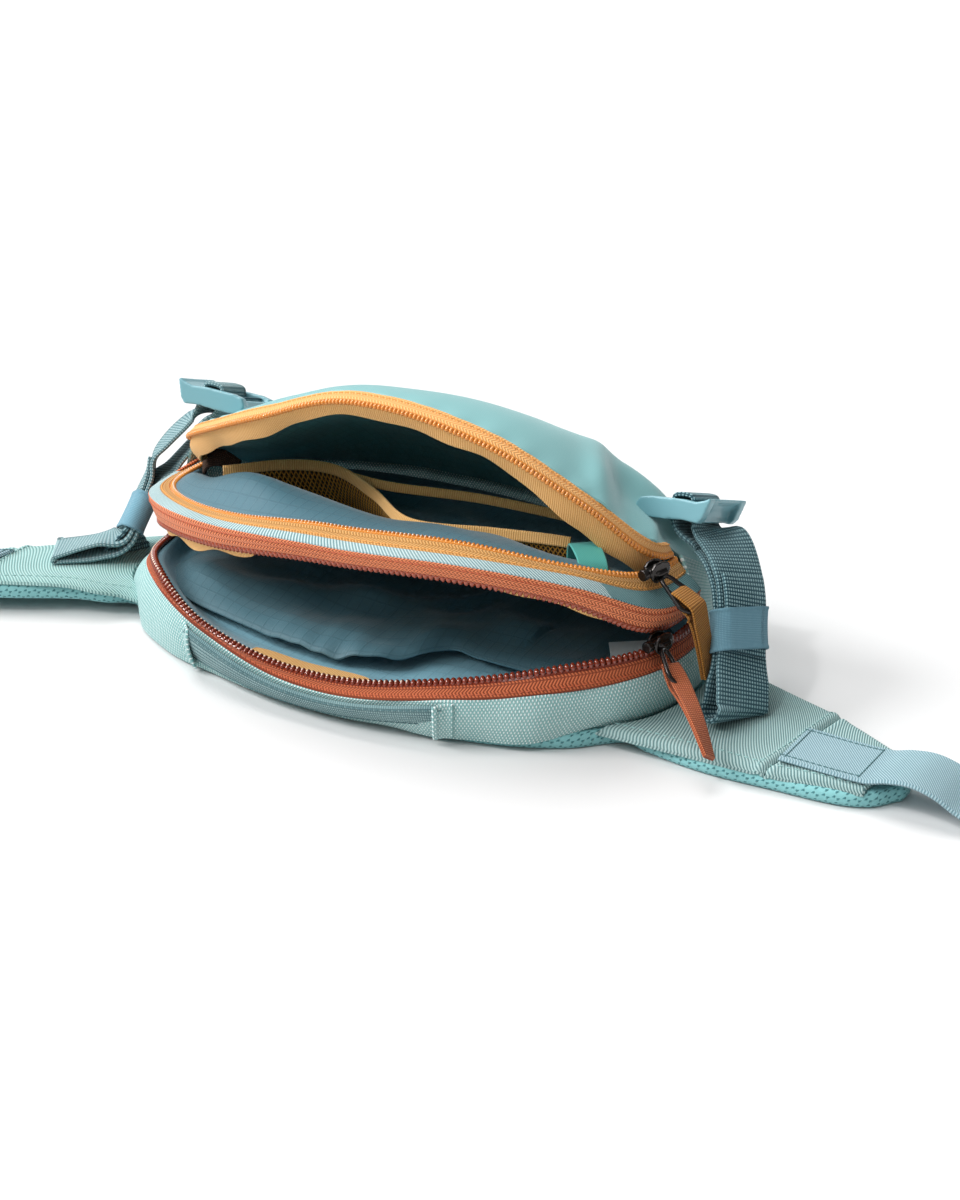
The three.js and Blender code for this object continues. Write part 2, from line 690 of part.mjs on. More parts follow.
// Short webbing that holds the lock's rear bar to the panel
function lockTab(side) {
  const matrix = lockMatrix(side);
  const [first, ...rest] = LOCK_TAB_ROUTE;
  const route = [{ x: first.x, z: LOCK_TAB_END[hand(side)] }, ...rest];
  const points = route.map(({ x, z }) => vec(x, 0, z).applyMatrix4(matrix));
  const across = vec(0, 1, 0).transformDirection(matrix).multiplyScalar(side);
  return ribbon(points, points.map(() => across), BELT_WIDTH, WEBBING);
}

// Strap loop: up through the lock over its middle bar, both layers down to the keeper and the foot
function sideStrap(side) {
  const matrix = lockMatrix(side);
  const rows = STRAP_ROWS[hand(side)];
  const middle = rows.map((row) => vec(row.x, row.y, row.z));
  const width = rows.map((row) => vec(Math.cos(rad(row.turn)), Math.sin(rad(row.turn)), 0));
  const lockAcross = vec(0, 1, 0).transformDirection(matrix);
  const layer = (sign) => rows.map((row, i) => {
    const below = middle[Math.min(i + 1, rows.length - 1)];
    const down = below.clone().sub(middle[Math.max(i - 1, 0)]).normalize();
    const face = down.clone().cross(width[i]).normalize().multiplyScalar(side);
    return middle[i].clone().addScaledVector(face, (sign * row.split) / 2);
  });
  const barPoints = BAR_ROUTE.map(({ x, z }) => vec(x, 0, z).applyMatrix4(matrix));
  const inner = layer(-1).reverse();
  const outer = layer(1);
  const end = rows.length - 1;
  const tail = middle[end].clone().sub(middle[end - 1]).normalize();
  const foot = middle[end].clone().addScaledVector(tail, rows[end].split / 2);
  const controls = [foot, ...inner, ...barPoints, ...outer];
  const acrossRow = [width[end], ...[...width].reverse(), ...barPoints.map(() => lockAcross), ...width];
  const path = new THREE.CatmullRomCurve3(controls, false, "centripetal");
  const count = (controls.length - 1) * 2;
  const points = [];
  const across = [];
  for (let i = 0; i <= count; i += 1) {
    const k = (i / count) * (controls.length - 1);
    const a = Math.min(Math.floor(k), controls.length - 2);
    points.push(path.getPoint(i / count));
    across.push(acrossRow[a].clone().lerp(acrossRow[a + 1], k - a).normalize());
  }
  return ribbon(points, across, STRAP_WIDTH, WEBBING);
}

// Elastic sleeve round both layers of a strap
function keeper(side) {
  const rows = STRAP_ROWS[hand(side)];
  const top = vec(rows[2].x, rows[2].y, rows[2].z);
  const low = vec(rows[3].x, rows[3].y, rows[3].z);
  const axis = top.clone().sub(low).normalize();
  const wide = vec(Math.cos(rad(rows[2].turn)), Math.sin(rad(rows[2].turn)), 0);
  wide.addScaledVector(axis, -wide.dot(axis)).normalize();
  const thin = axis.clone().cross(wide);
  const inside = [
    STRAP_WIDTH / 2 + KEEPER.slackWide,
    rows[2].split / 2 + WEBBING / 2 + KEEPER.slackThick,
  ];
  const shape = new THREE.Shape();
  const outline = (path, hx, hy) => {
    path.moveTo(-hx, -hy);
    path.lineTo(hx, -hy);
    path.lineTo(hx, hy);
    path.lineTo(-hx, hy);
    path.closePath();
  };
  outline(shape, inside[0] + KEEPER.wall, inside[1] + KEEPER.wall);
  const hole = new THREE.Path();
  outline(hole, inside[0], inside[1]);
  shape.holes.push(hole);
  const geometry = new THREE.ExtrudeGeometry(shape, { depth: KEEPER.length, bevelEnabled: false });
  geometry.translate(0, 0, -KEEPER.length / 2);
  const mesh = piece(`keeper_${hand(side)}`, "elastic", geometry);
  mesh.setRotationFromMatrix(new THREE.Matrix4().makeBasis(wide, thin, axis));
  mesh.position.copy(top.clone().lerp(low, KEEPER.place));
}

// Slider: a shield-shaped body on a barrel that lies along the zip
function slider(name, pull) {
  const points = SLIDER_PROFILE.map(([radius, along]) => new THREE.Vector2(radius, along - SLIDER.bridge));
  const mesh = piece(name, "gunmetal", new THREE.LatheGeometry(points, 14));
  mesh.rotation.set(0, 0, rad(pull.heading - 90));
  mesh.position.set(...pull.slider);
}

// Wire bail from the slider's bridge down to the tab
function pullWire(pull) {
  const start = vec(...pull.slider);
  const end = vec(...pull.wireEnd);
  const reach = end.clone().sub(start);
  const level = vec(reach.y, -reach.x, 0).normalize();
  const along = reach.clone().normalize();
  const length = reach.length();
  const clear = SLIDER.radius + WIRE.radius + GAP;
  const points = [];
  for (let i = 0; i < WIRE.points; i += 1) {
    const turn = (2 * Math.PI * i) / WIRE.points;
    const far = Math.cos(turn) > 0;
    const base = far ? length - WIRE.half : clear + WIRE.half;
    points.push(start.clone()
      .addScaledVector(along, base + WIRE.half * Math.cos(turn))
      .addScaledVector(level, WIRE.half * Math.sin(turn)));
  }
  return rod(points, WIRE.radius, 6, true);
}

// Webbing tab hung from the wire's end
function pullTab(pull) {
  const end = vec(...pull.wireEnd);
  const tip = vec(...pull.tabEnd);
  const start = vec(...pull.slider);
  const along = end.clone().sub(start).normalize();
  const level = vec(along.y, -along.x, 0).normalize();
  const top = end.clone().addScaledVector(along, WIRE.radius + 2 * GAP);
  const bow = vec(0, 0, TAB.bow);
  const points = steps(0, 1, 5).map((k) => (
    top.clone().lerp(tip, k).addScaledVector(bow, Math.sin(Math.PI * k))
  ));
  return ribbon(points, points.map(() => level), TAB.width, TAB.thick);
}

piece("back_pad", "mesh", backPad());
for (const side of [-1, 1]) {
  const seam = crossLine(WING_SEAM, COVER_INSET);
  const tipStart = { near: WING_SEAM.near + COVER_GROOVE, far: WING_SEAM.far + COVER_GROOVE };
  const pastSeam = crossLine(tipStart, COVER_INSET);
  const tip = crossLine(WING_TIP, COVER_INSET);
  piece(`wing_cover_${hand(side)}`, "twill", wingPanel(side, wallLine, seam, COVER_SWELL));
  piece(`wing_tip_${hand(side)}`, "twill", wingPanel(side, pastSeam, tip, 0));
  piece(`belt_${hand(side)}`, "belt", belt(side));
  clip(side);
  lock(side);
  piece(`lock_tab_${hand(side)}`, "webbing", lockTab(side));
  piece(`side_strap_${hand(side)}`, "webbing", sideStrap(side));
  keeper(side);
}

piece("lower_wall", "wall", strip(EDGES.foot, EDGES.wallTop, {
  insetLow: 0, insetHigh: FOLD_SEAM, swell: WALL_SWELL, thick: WALL, cols: 4,
}));
piece("grab_handle", "webbing", grabHandle());
piece("bottom_gusset", "wall", bottomGusset());

const tapes = [
  ["rust_tape_lower", "rust", "rustBase", "rustLower", FOLD_SEAM, COIL_INSET],
  ["rust_tape_upper", "rust", "rustUpper", "rustTop", COIL_INSET, FOLD_SEAM],
  ["mid_strip", "twill", "rustTop", "mustardBase", FOLD_SEAM, SEAM],
  ["mustard_tape_lower", "mustard", "mustardBase", "mustardLower", SEAM, COIL_INSET],
  ["mustard_tape_upper", "mustard", "mustardUpper", "panelRim", COIL_INSET, SEAM],
];
for (const [name, look, low, high, insetLow, insetHigh] of tapes) {
  const options = { insetLow, insetHigh, swell: STRIP_SWELL, thick: TAPE };
  piece(name, look, strip(EDGES[low], EDGES[high], options));
}
piece("rust_teeth_lower", "rust", coil(EDGES.rustLower));
piece("rust_teeth_upper", "rust", coil(EDGES.rustUpper));
piece("mustard_teeth_lower", "mustard", coil(EDGES.mustardLower));
piece("mustard_teeth_upper", "mustard", coil(EDGES.mustardUpper));
piece("mustard_facing", "mustard", mustardFacing());

piece("front_panel", "aqua", panelCloth({
  thick: WALL, below: 0, uEdge: 0, from: rimInset, to: 1, rows: 26, cols: 8,
}));
piece("front_lining", "lining", panelCloth({
  ...FRONT_LINING, thick: LINING, from: () => FRONT_LINING.from, rows: 12, cols: 5,
}));
piece("divider", "lining", planSheet(DIVIDER, dividerZ, 16, 6));
piece("main_lining", "lining", planSheet(FLOOR_LINING, floorZ, 18, 8));
piece("mesh_pocket", "mustard", meshPocket());
piece("pocket_binding", "mustard", pocketBinding());

function smallTab({ route, across, width, thick }) {
  return ribbon(route.map((p) => vec(...p)), route.map(() => vec(...across)), width, thick);
}

piece("key_ribbon", "aqua", smallTab(KEY_RIBBON));
const labelFoot = [...CARE_LABEL.foot, floorZ(...CARE_LABEL.foot) + CARE_LABEL.rise];
piece("care_label", "label", smallTab({ ...CARE_LABEL, route: [labelFoot, ...CARE_LABEL.route] }));

for (const [name, pull] of Object.entries(PULLS)) {
  slider(`slider_${name}`, pull);
  piece(`pull_wire_${name}`, "gunmetal", pullWire(pull));
  piece(`pull_tab_${name}`, name, pullTab(pull));
}

export default pack;
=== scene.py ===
"""Looks of a padded hip pack that lies open on its back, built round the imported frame."""
import math

import bpy
import numpy as np
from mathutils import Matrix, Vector


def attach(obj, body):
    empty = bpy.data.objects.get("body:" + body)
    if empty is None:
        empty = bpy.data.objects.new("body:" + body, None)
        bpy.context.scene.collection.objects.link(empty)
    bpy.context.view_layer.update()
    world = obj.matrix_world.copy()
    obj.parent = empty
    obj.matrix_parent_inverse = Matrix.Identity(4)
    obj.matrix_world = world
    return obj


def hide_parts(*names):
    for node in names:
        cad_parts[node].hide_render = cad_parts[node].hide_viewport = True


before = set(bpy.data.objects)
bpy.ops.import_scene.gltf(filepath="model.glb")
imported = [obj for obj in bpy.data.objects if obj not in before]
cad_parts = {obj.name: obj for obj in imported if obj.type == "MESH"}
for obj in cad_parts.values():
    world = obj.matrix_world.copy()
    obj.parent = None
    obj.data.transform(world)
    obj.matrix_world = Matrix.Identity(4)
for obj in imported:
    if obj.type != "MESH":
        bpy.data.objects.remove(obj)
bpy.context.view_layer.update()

MM = 0.001

# Sizes in millimetres, as in the part's source
PAD = 6.5
COVER = 1.8
WALL = 1.4
TAPE = 1.2
LINING = 1.0
WEBBING = 1.8
GAP = 0.3
PLAN_Y = -18
PLAN_POWER = 2.25
ZIP_END = 94
GUSSET_START = 94.5
FAR_HALF_WIDTH = 119
FAR_DEPTH = 69
FOOT_Z = PAD + 1.1
BELT_WIDTH = 25
STRAP_WIDTH = 24
COIL_INSET = 1.5

UP = (0, 0, 1)
SIDES = ((1, "right"), (-1, "left"))

# Zip teeth: spacing along the tape and half sizes along the zip, across the tape and through it, the core's
# radius and distance from the teeth, how far the main zip's lower teeth are raised, points of the lip's line,
# and rings and sides of a tooth's mesh
TOOTH = {"rust": {"pitch": 2.2, "half": (1.1, 1.8, 1.4)},
         "mustard": {"pitch": 1.65, "half": (0.86, 1.4, 1.15)},
         "core": 0.8, "core_in": 0.9, "proud": 0.7, "line": 900, "mesh": (6, 8)}
# Half sizes of the pale thread on each tooth of a lower lip, the x at which it stops, how far up it faces,
# and its place as a share of the tooth's half size. It is partly thread and partly painted highlights of the
# teeth's glints, and shows only on the lit left part
COIL_THREAD_GLINT = {"rust_lower": (0.4, 0.5, 0.3), "mustard_lower": (0.34, 0.4, 0.26), "end": 40, "up": 0.8,
               "sunk": 0.95}
# Stitches: spacing, length, thread radius, stand off the cloth, and rings and sides of each one's mesh
STITCH = {"pitch": 3.1, "length": 2.3, "radius": 0.3, "stand": 0.1, "mesh": (4, 6)}
# Lines along and across each cloth's grid
LINES = {"gusset": (220, 22), "panel": (190, 76), "lining": (120, 60), "facing": (260, 14),
         "divider": (150, 60), "floor": (200, 90), "sleeve": (190, 80), "lip_facing": (90, 8),
         "net": (120, 20)}
# Unevenness of each cloth: seed, height and span of its waves, and how much closer they lie across
WAVE = {"pad": (3, 0.5, 60, 40), "wing": (5, 0.35, 34, 1), "wall": (11, 0.45, 46, 1),
        "gusset": (13, 0.7, 60, 1), "panel": (21, 1.2, 75, 1), "lining": (23, 1.5, 48, 1),
        "divider": (31, 1.9, 44, 1.4), "floor": (41, 0.9, 46, 1.5), "sleeve": (43, 1.3, 40, 1.3),
        "pleat": (47, 1.5, 17, 0.4), "net": (51, 1.0, 30, 1)}

# Lips and seams of the zip side: half widths, depth, and at each of the stations, which are headings in
# degrees, how far they are pushed out and how high they are
STATIONS = [-106, -80, -50, -25, 0, 25, 50, 76, 106]
LEVEL = [0] * len(STATIONS)
LIP_FLOP = [0, 0.5, 3.6, 7.2, 8.8, 6.6, 2, 0, 0]
EDGES = {
    "foot": {"left": 116, "right": 119, "near": 69, "out": [14, 13, 2, 0, 0, 0, 0, 0, 0],
             "z": [FOOT_Z] * len(STATIONS)},
    "wall_top": {"left": 115, "right": 119, "near": 70, "out": LIP_FLOP,
                 "z": [22, 18.6, 23.8, 20, 12.5, 19, 23, 24.5, 25]},
    "rust_base": {"left": 115, "right": 119, "near": 70, "out": LIP_FLOP,
                  "z": [22.5, 19.1, 24.3, 20.7, 13.2, 19.7, 23.7, 25.2, 25.7]},
    "rust_lower": {"left": 113, "right": 116, "near": 66, "out": [0, 1, 4, 7, 7, 4, 1, 0, 0],
                   "z": [24, 21, 26, 19, 15, 23, 30, 31.5, 31.5]},
    "rust_upper": {"left": 111, "right": 114, "near": 66, "out": LEVEL,
                   "z": [29, 34, 45, 52, 60, 63, 56.5, 40, 36.5]},
    "rust_top": {"left": 116, "right": 119, "near": 69, "out": [-12, -5, 0, 0, 0, 0, 0, 0, 0],
                 "z": [50.5, 47.4, 55.8, 61.2, 67.4, 70.4, 64.4, 50, 47]},
    "mustard_base": {"left": 110, "right": 113, "near": 66, "out": LEVEL,
                     "z": [45, 49, 57, 62, 69, 72, 67, 55, 52]},
    "mustard_lower": {"left": 106, "right": 109, "near": 58, "out": LEVEL,
                      "z": [49, 50, 56, 62, 70.5, 74, 68, 60, 57]},
    "mustard_upper": {"left": 102, "right": 108, "near": 42, "out": LEVEL,
                      "z": [58, 67, 81, 97, 114, 108, 89, 67, 57]},
    "panel_rim": {"left": 99, "right": 106, "near": 34, "out": LEVEL,
                  "z": [62, 71, 84, 99.5, 115, 109.5, 91, 71.5, 61]},
}
# Front panel: height and size of its far seam, the heading at its corners, and the gusset's rise there
PANEL_SEAM_Z = 46
PANEL_HALF_WIDTH = 110
PANEL_DEPTH = 64
PANEL_CORNER = 112
CORNER_RISE = 14
# Dent under the right-hand lock: its place, its reach along x and y, and how far it drops
PANEL_DENT = {"at": (89, -4), "wide": 17, "deep": 13, "drop": 5.5}
# Slack that pushes the far seam out near the right-hand lock: its size, heading and spread, and the part of
# the panel over which it starts
SEAM_BULGE = {"out": 7.6, "heading": 116, "spread": 13, "from": 0.76, "blend": 0.1}
# How late the panel falls towards its far seam, from its left end to its right one
CROWN = {"u": [0, 0.18, 0.26, 0.36, 0.5, 0.66, 0.74, 0.82, 0.9, 1],
         "power": [0.8, 0.9, 1.4, 2.1, 1.7, 2.5, 3.6, 3.8, 1.9, 1.0]}
# Grab handle: its ends in degrees, stand off the wall, drop below the wall's top, mesh, swell, spacing of its
# stitches, and lower edge
HANDLE = {"from": -27, "to": 23.2, "stand": 2.6, "drop": 1.2, "rows": 150, "lines": 12, "swell": 0.8,
          "pitch": 2.4,
          "low": {"left": 118, "right": 121, "near": 73, "out": [0, 0, 1, 2, 4, 2, 1, 0, 0],
                  "z": [8, 8, 6, 5, 4.2, 8.6, 9, 9, 9]}}
# Hems of the wall that lie over the handle's ends: reach past them in degrees, stand off the wall, slope,
# rows and thickness
HEM = {"over": -1.2, "wide": 2.6, "high": 3.6, "low": 1.0, "slope": 1.6, "rows": 9, "thick": 1.2}
# Half of the pad's outline
PAD_OUTLINE = {
    "x": [0, 30, 58, 80, 96, 106, 112, 120, 146, 172, 196, 208, 214],
    "near": [-90, -88, -84, -77, -68, -58, -54, -56, -59, -58, -56, -51, -43],
    "far": [54, 53, 50, 43, 35, 27, 21, 15, 5, -5, -16, -22, -32],
}
# Wing covers: how far they stay inside the pad's edge, and how far their border curls down over it
COVER_INSET = {1: 0.2, -1: 1.6}
COVER_CURL = {1: 2.0, -1: 0.8}
# x of the cross seam and of the tip's end, at the wing's two edges
WING_SEAM = {"near": 169, "far": 176}
WING_TIP = {"near": 205, "far": 210}
# How far the left wing swings towards the zip side and its near edge is raised
LEFT_WING = {"x": [104, 112, 120, 132, 154, 176, 214, 262], "swing": [0, 3, 9, 14, 26, 38, 50, 56],
             "lift": [0, 2, 4, 5.5, 6, 6, 4, 0]}
# Height of the belt along its way, and its y on each side
BELT_ROUTE = {"x": [172, 204, 213, 222, 231, 239, 247, 256],
              "z": [10.1, 10.1, 12.5, 13.5, 11.5, 7.5, 4.8, 4.2]}
BELT_Y = {1: -38.5, -1: -33}
# Cloth between the compartments. Bulges: height, place and depth from the lip, heading and spread
DIVIDER = {"half": 113, "near": 65.6, "far": 60, "far_z": 38, "sag": 7, "lip_gap": 1.4, "edge": (112, 59),
           "narrow": 0.03, "above": 1.0, "ease": 3.2, "end": 90,
           "near_z": [37.3, 41.8, 52.6, 58, 64.2, 67.2, 61.2, 46.8, 43.8],
           "bulges": [(12.0, 0.19, 0.13, -28, 20), (5.0, 0.2, 0.16, -62, 18)]}
# Mesh pocket: its bound edge in plan and its height, how far it bags out, its gaps below and
# above, and waves of its binding
POCKET = {"x": [-76, -60, -38, -14, 14, 44, 74], "y": [-40, -24, -18, -28, -46, -36, -30], "top": 63,
          "bag": 9, "power": 1.5, "above": 2.2, "tucked": 0.6, "wave": 0.4, "span": 9}
# Heading at which a lip starts, where it goes further round than the others
ZIP_START = {"mustard_upper": -100, "rust_upper": -103, "mid_strip": -87}
# Heading at which the light strip between the zips gives way to an end piece of the same twill painted
# darker as shade, its swell, and rows of the end piece
STRIP = {"join": 60, "swell": 0.3, "rows": 90}
# Rounded left end of the main zip's upper tape: how far it bulges, and its spread in degrees
TAPE_LOBE = {"out": 7.5, "spread": 20}
# Ladder locks: place and turns in degrees
LOCK = {"at": {1: (103.5, 9.2, 68.5), -1: (109.6, 10, 68.5)}, "pitch": 6, "roll": -22, "yaw": {1: 0, -1: -11}}
# Ways of the strap over the lock's middle bar and of the tab round its inner one, in the lock's x and z
BAR_ROUTE = [(3, -10), (-0.5, -6.5), (-2, -2), (-2, 3.4), (-0.6, 5.4), (4.6, 5.4), (6, 3.4), (6, -2), (8, -6)]
LOCK_TAB_END = {1: (-20, -7.7), -1: (-20, -10.1)}
LOCK_TAB_ROUTE = [(-16.5, -6.7), (-12.6, -5.6), (-10.3, -4.6), (-9.3, -2), (-9.2, 3)]
# Strap loops, from the lock to the foot: x, y, z, heading of the width, spacing of the two layers
STRAP_ROWS = {
    1: [(118.4, 5, 60.5, 80, 4.5), (127.6, -2, 54.2, 70, 3.4), (133.6, -8.6, 45.5, 68, 2.6),
        (139.9, -20, 29.6, 68, 2.6), (142.6, -26.4, 21.0, 66, 6.2), (144.2, -30.6, 14.2, 65, 8.2)],
    -1: [(-121, 3, 57, 112, 8), (-127, -10, 46, 118, 8), (-128.5, -18.5, 37.5, 121, 2.6),
         (-130.5, -33, 20.5, 121, 2.6), (-139, -41, 16.6, 121, 4.2), (-153, -50, 13.6, 121, 2.4)],
}
# Keepers: length, place between the third and fourth row, width and thickness outside and inside, and how
# much they draw in at the middle and swell at their hems
KEEPER = {"length": 16, "place": {1: 0.54, -1: 0.6}, "outer": (27.0, 9.6), "inner": (25.4, 8.2),
          "waist": 0.03, "bead": 0.025, "hem": (0.46, 0.04), "selvedge": (0.5, 12), "rings": 40}
# Sewn end of the left strap, from the keeper to the wing: x, y, z, heading of the width
STRAP_ROOT = [(-129.4, -26, 29, 121), (-130.6, -31.6, 21, 108), (-131.4, -33.4, 15.5, 84),
              (-131.6, -33.8, 12.2, 74)]
# Lean of the left loop's two layers where they lie on the wing
LOOP_LEAN = {"under": (-0.06, -0.12), "over": (-0.24, -0.12)}
# Stand of a strap's sewn tail off its outer layer, at its top, above the keeper and below it
TAIL_STAND = [2.6, 2.0, 1.8]
# Fall of the right strap's width from its near to its far edge, at each row
STRAP_DIP = [0, -0.2, -0.27, -0.27, -0.18, -0.16]
# Zip pulls: their sliders, the ends of wire and tab, and the heading of the zip
PULLS = {
    "rust": {"slider": (115.6, -36.5, 36), "wire_end": (129, -46, 25.5), "tab_end": (151, -65, 11.2),
             "heading": 76},
    "mustard": {"slider": (111.5, -33, 62.5), "wire_end": (129, -34, 51), "tab_end": (132.5, -30, 24.5),
                "heading": 74},
}
# Pull wires: thickness, length of each rounded half, widths at both ends, clearance from the slider, turn
WIRE = {"radius": 0.85, "half": 4.8, "neck": 3.4, "clear": 4.0, "back": 0.8, "steps": 64,
        "end": {"rust": 5.0, "mustard": 6.0}, "turn": {"rust": -40, "mustard": 0}}
# Pull tabs: how far the fold stands back through the wire, the twist and bow of the hanging part, and how
# far apart its two layers are at the fold and below
TAB = {"width": {"rust": 7.4, "mustard": 9.6}, "thick": 1.0, "fold": {"rust": 8.5, "mustard": 9.5},
       "twist": {"rust": 42, "mustard": 10}, "loop": 1.7, "bow": 2.5, "start": 0.14, "apart": 0.65,
       "gape": 1.2, "close": 5, "steps": 9}

# Facing behind the front zip's upper lip: how far its hem hangs at each heading, waves of the hem and the
# cloth as height and span, and a puff at the left end as height, heading and spread
FACING = {"heading": [-98, -84, -60, -30, 0, 25, 45, 60, 82], "drop": [5, 9, 8.5, 7, 6, 6.5, 9, 11, 7],
          "ends": (-98, 84), "hem": [(0.8, 6.0), (0.4, 2.3)], "flutter": (0.9, 4.2), "puff": (2.6, -84, 16),
          "gap": 1.5, "flare": 2.6, "power": 1.5, "below": 0.5}
# Slack inner pocket on the main compartment's floor: its free edge in plan and how far that stands up, its
# fullness as height, start and fade, and its pleats as x, spread and fade
SLEEVE = {"x": [-102, -84, -52, -25, -2, 19, 34, 47, 76, 102],
          "y": [-40, -60, -71, -76, -77, -68, -50, -50, -48, -40],
          "stand": [1.5, 3.0, 4.2, 4.6, 4.8, 4.6, 4.2, 3.8, 3.0, 1.5],
          "above": 6.6, "settle": 45.0, "wall_gap": (8, 9), "spacing": 1.5, "ease": 20, "calm": 10,
          "fullness": (6.5, 7.0, 60.0), "pleats": (2, 30, 16)}
# How far the lower wall's foot comes down over the pad's edge at each heading
FOOT_COVER = {"heading": [-106, -78, -66, -50, -25, 0, 18, 32, 42, 50, 57, 106],
              "share": [0, 0, 0.5, 1, 1, 1, 0.84, 0.74, 0.6, 0.3, 0, 0]}

# Soft lights: the way each one comes from, its spread in degrees and its strength
SUNS = [("back", (-0.45, 0.28, 0.86), 40, 2.2), ("key", (-0.72, -0.42, 0.66), 25, 2.25),
        ("front", (-0.2, -0.64, 0.74), 40, 0.7), ("glint", (-0.2, -0.5, 0.85), 4, 0.5)]
# Strength of the light from all round, half the floor's width, and the photo's camera, whose distance and
# target are in metres
SKY = 0.2
FLOOR_HALF = 4000
CAMERA = {"azimuth": 30.85, "elevation": 26.0, "distance": 1.150, "target": (0.0035, 0.0229, 0.0),
          "lens": 85.08, "sensor": 36}


# Curves and plan

def through(stations, values, at):
    """Smooth curve through a row of values."""
    xs, ys, at = np.asarray(stations, float), np.asarray(values, float), np.asarray(at, float)
    k = np.searchsorted(xs[1:-1], at)
    order = np.arange(len(xs))
    before, after = np.maximum(order - 1, 0), np.minimum(order + 1, len(xs) - 1)
    slope = (ys[after] - ys[before]) / (xs[after] - xs[before])
    span = xs[k + 1] - xs[k]
    s = (at - xs[k]) / span
    rise = s * s * (3 - 2 * s)
    bend = s * (1 - s) ** 2 * slope[k] - s * s * (1 - s) * slope[k + 1]
    return ys[k] + (ys[k + 1] - ys[k]) * rise + span * bend


def power(value):
    return np.sign(value) * np.abs(value) ** (2 / PLAN_POWER)


def plan(heading, half_width, depth):
    """Point of the plan oval at a heading in degrees, 0 towards the zip side."""
    angle = np.radians(heading)
    return half_width * power(np.sin(angle)), PLAN_Y - depth * power(np.cos(angle))


def plan_y(x, half_width, depth, side):
    rest = np.maximum(0, 1 - np.abs(x / half_width) ** PLAN_POWER)
    return PLAN_Y + side * depth * rest ** (1 / PLAN_POWER)


def outward(heading):
    x, y = plan(heading, 1, 1)
    return unit(np.stack([x, y - PLAN_Y, np.zeros_like(x)], -1))


def edge_line(edge, heading):
    """Points of one lip or seam at the given headings."""
    heading = np.asarray(heading, float)
    out = through(STATIONS, edge["out"], heading)
    half = np.where(heading < 0, edge["left"], edge["right"]) + out / 2
    x, y = plan(heading, half, edge["near"] + out)
    return np.stack([x, y, through(STATIONS, edge["z"], heading)], -1)


def ripple(seed, a, b, scale):
    """Smooth uneven field between about -1 and 1, from a few crossed waves."""
    draw = np.random.RandomState(seed)
    total = 0
    for _ in range(5):
        way, stretch, start = draw.uniform(0, math.pi), draw.uniform(0.6, 1.7), draw.uniform(0, 2 * math.pi)
        along = a * math.cos(way) + b * math.sin(way)
        total = total + np.sin(along * stretch * 2 * math.pi / scale + start)
    return total / 3


def uneven(name, a, b, shift=0):
    """Height of a cloth's own waves at the places a and b."""
    seed, height, span, closer = WAVE[name]
    return height * ripple(seed + shift, a, b * closer, span)


def bump_at(value, centre, width):
    return np.exp(-((value - centre) / width) ** 2)


def steps(name, start=0, end=1):
    """Even steps along a cloth's grid, from start to end, and across it, from 0 to 1."""
    along, across = LINES[name]
    return np.linspace(start, end, along), np.linspace(0, 1, across)


def run_along(line):
    """How far along a line each of its points is."""
    return np.concatenate([[0], np.cumsum(np.linalg.norm(np.diff(line, axis=0), axis=1))])


def between(at, stations, rows):
    """Rows of three numbers, read between stations."""
    return np.stack([np.interp(at, stations, rows[:, i]) for i in range(3)], -1)


def resample(line, step):
    """Points of a line at an even spacing, with how far along they are."""
    run = run_along(line)
    at = np.linspace(0, run[-1], max(2, int(run[-1] / step) + 1))
    return between(at, run, line), at


def smooth_path(points, per=8):
    """Catmull-Rom curve through a few points of any dimension."""
    p = np.asarray(points, float)
    p = np.vstack([2 * p[0] - p[1], p, 2 * p[-1] - p[-2]])
    rows = []
    for i in range(1, len(p) - 2):
        t = np.linspace(0, 1, per, endpoint=False)[:, None]
        a, b, c, d = p[i - 1:i + 3]
        rows.append(0.5 * (2 * b + (c - a) * t + (2 * a - 5 * b + 4 * c - d) * t ** 2
                           + (3 * b - a - 3 * c + d) * t ** 3))
    return np.vstack(rows + [p[-2:-1]])


def unit(v):
    return v / np.maximum(np.linalg.norm(v, axis=-1, keepdims=True), 1e-9)


# Meshes

def add_object(name, data):
    thing = bpy.data.objects.new(name, data)
    bpy.context.scene.collection.objects.link(thing)
    return thing


def mesh_object(name, points, faces, look, uv=None, sharp=50):
    """New object from points in millimetres."""
    mesh = bpy.data.meshes.new(name)
    mesh.from_pydata((np.asarray(points) * MM).tolist(), [], faces)
    if uv is not None:
        layer = mesh.uv_layers.new(name="cloth")
        corner = np.empty(len(mesh.loops), dtype=np.int32)
        mesh.loops.foreach_get("vertex_index", corner)
        layer.data.foreach_set("uv", np.asarray(uv, dtype=np.float32)[corner].ravel())
    mesh.materials.append(LOOKS[look])
    mesh.shade_smooth()
    mesh.set_sharp_from_angle(angle=math.radians(sharp))
    return add_object(name, mesh)


def place(piece, slot, *nodes, body="root"):
    """Gives a piece its body and hides the CAD nodes it stands for. slot is not used."""
    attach(piece, body)
    if nodes:
        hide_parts(*nodes)
    return piece


def grid_normals(grid):
    return unit(np.cross(np.gradient(grid, axis=0), np.gradient(grid, axis=1)))


def flat_map(u, v):
    return np.stack(np.meshgrid(u, v, indexing="ij"), -1)


def arc_map(grid):
    """Millimetres along and across a grid, the cloth's own flat map."""
    along = np.linalg.norm(np.diff(grid, axis=0), axis=2).mean(1)
    across = np.linalg.norm(np.diff(grid, axis=1), axis=2).mean(0)
    return flat_map(*(np.concatenate([[0], np.cumsum(gaps)]) for gaps in (along, across)))


def rumpled(name, grid):
    """Grid with its cloth's own waves."""
    uv = arc_map(grid)
    return grid + grid_normals(grid) * uneven(name, uv[..., 0], uv[..., 1])[..., None]


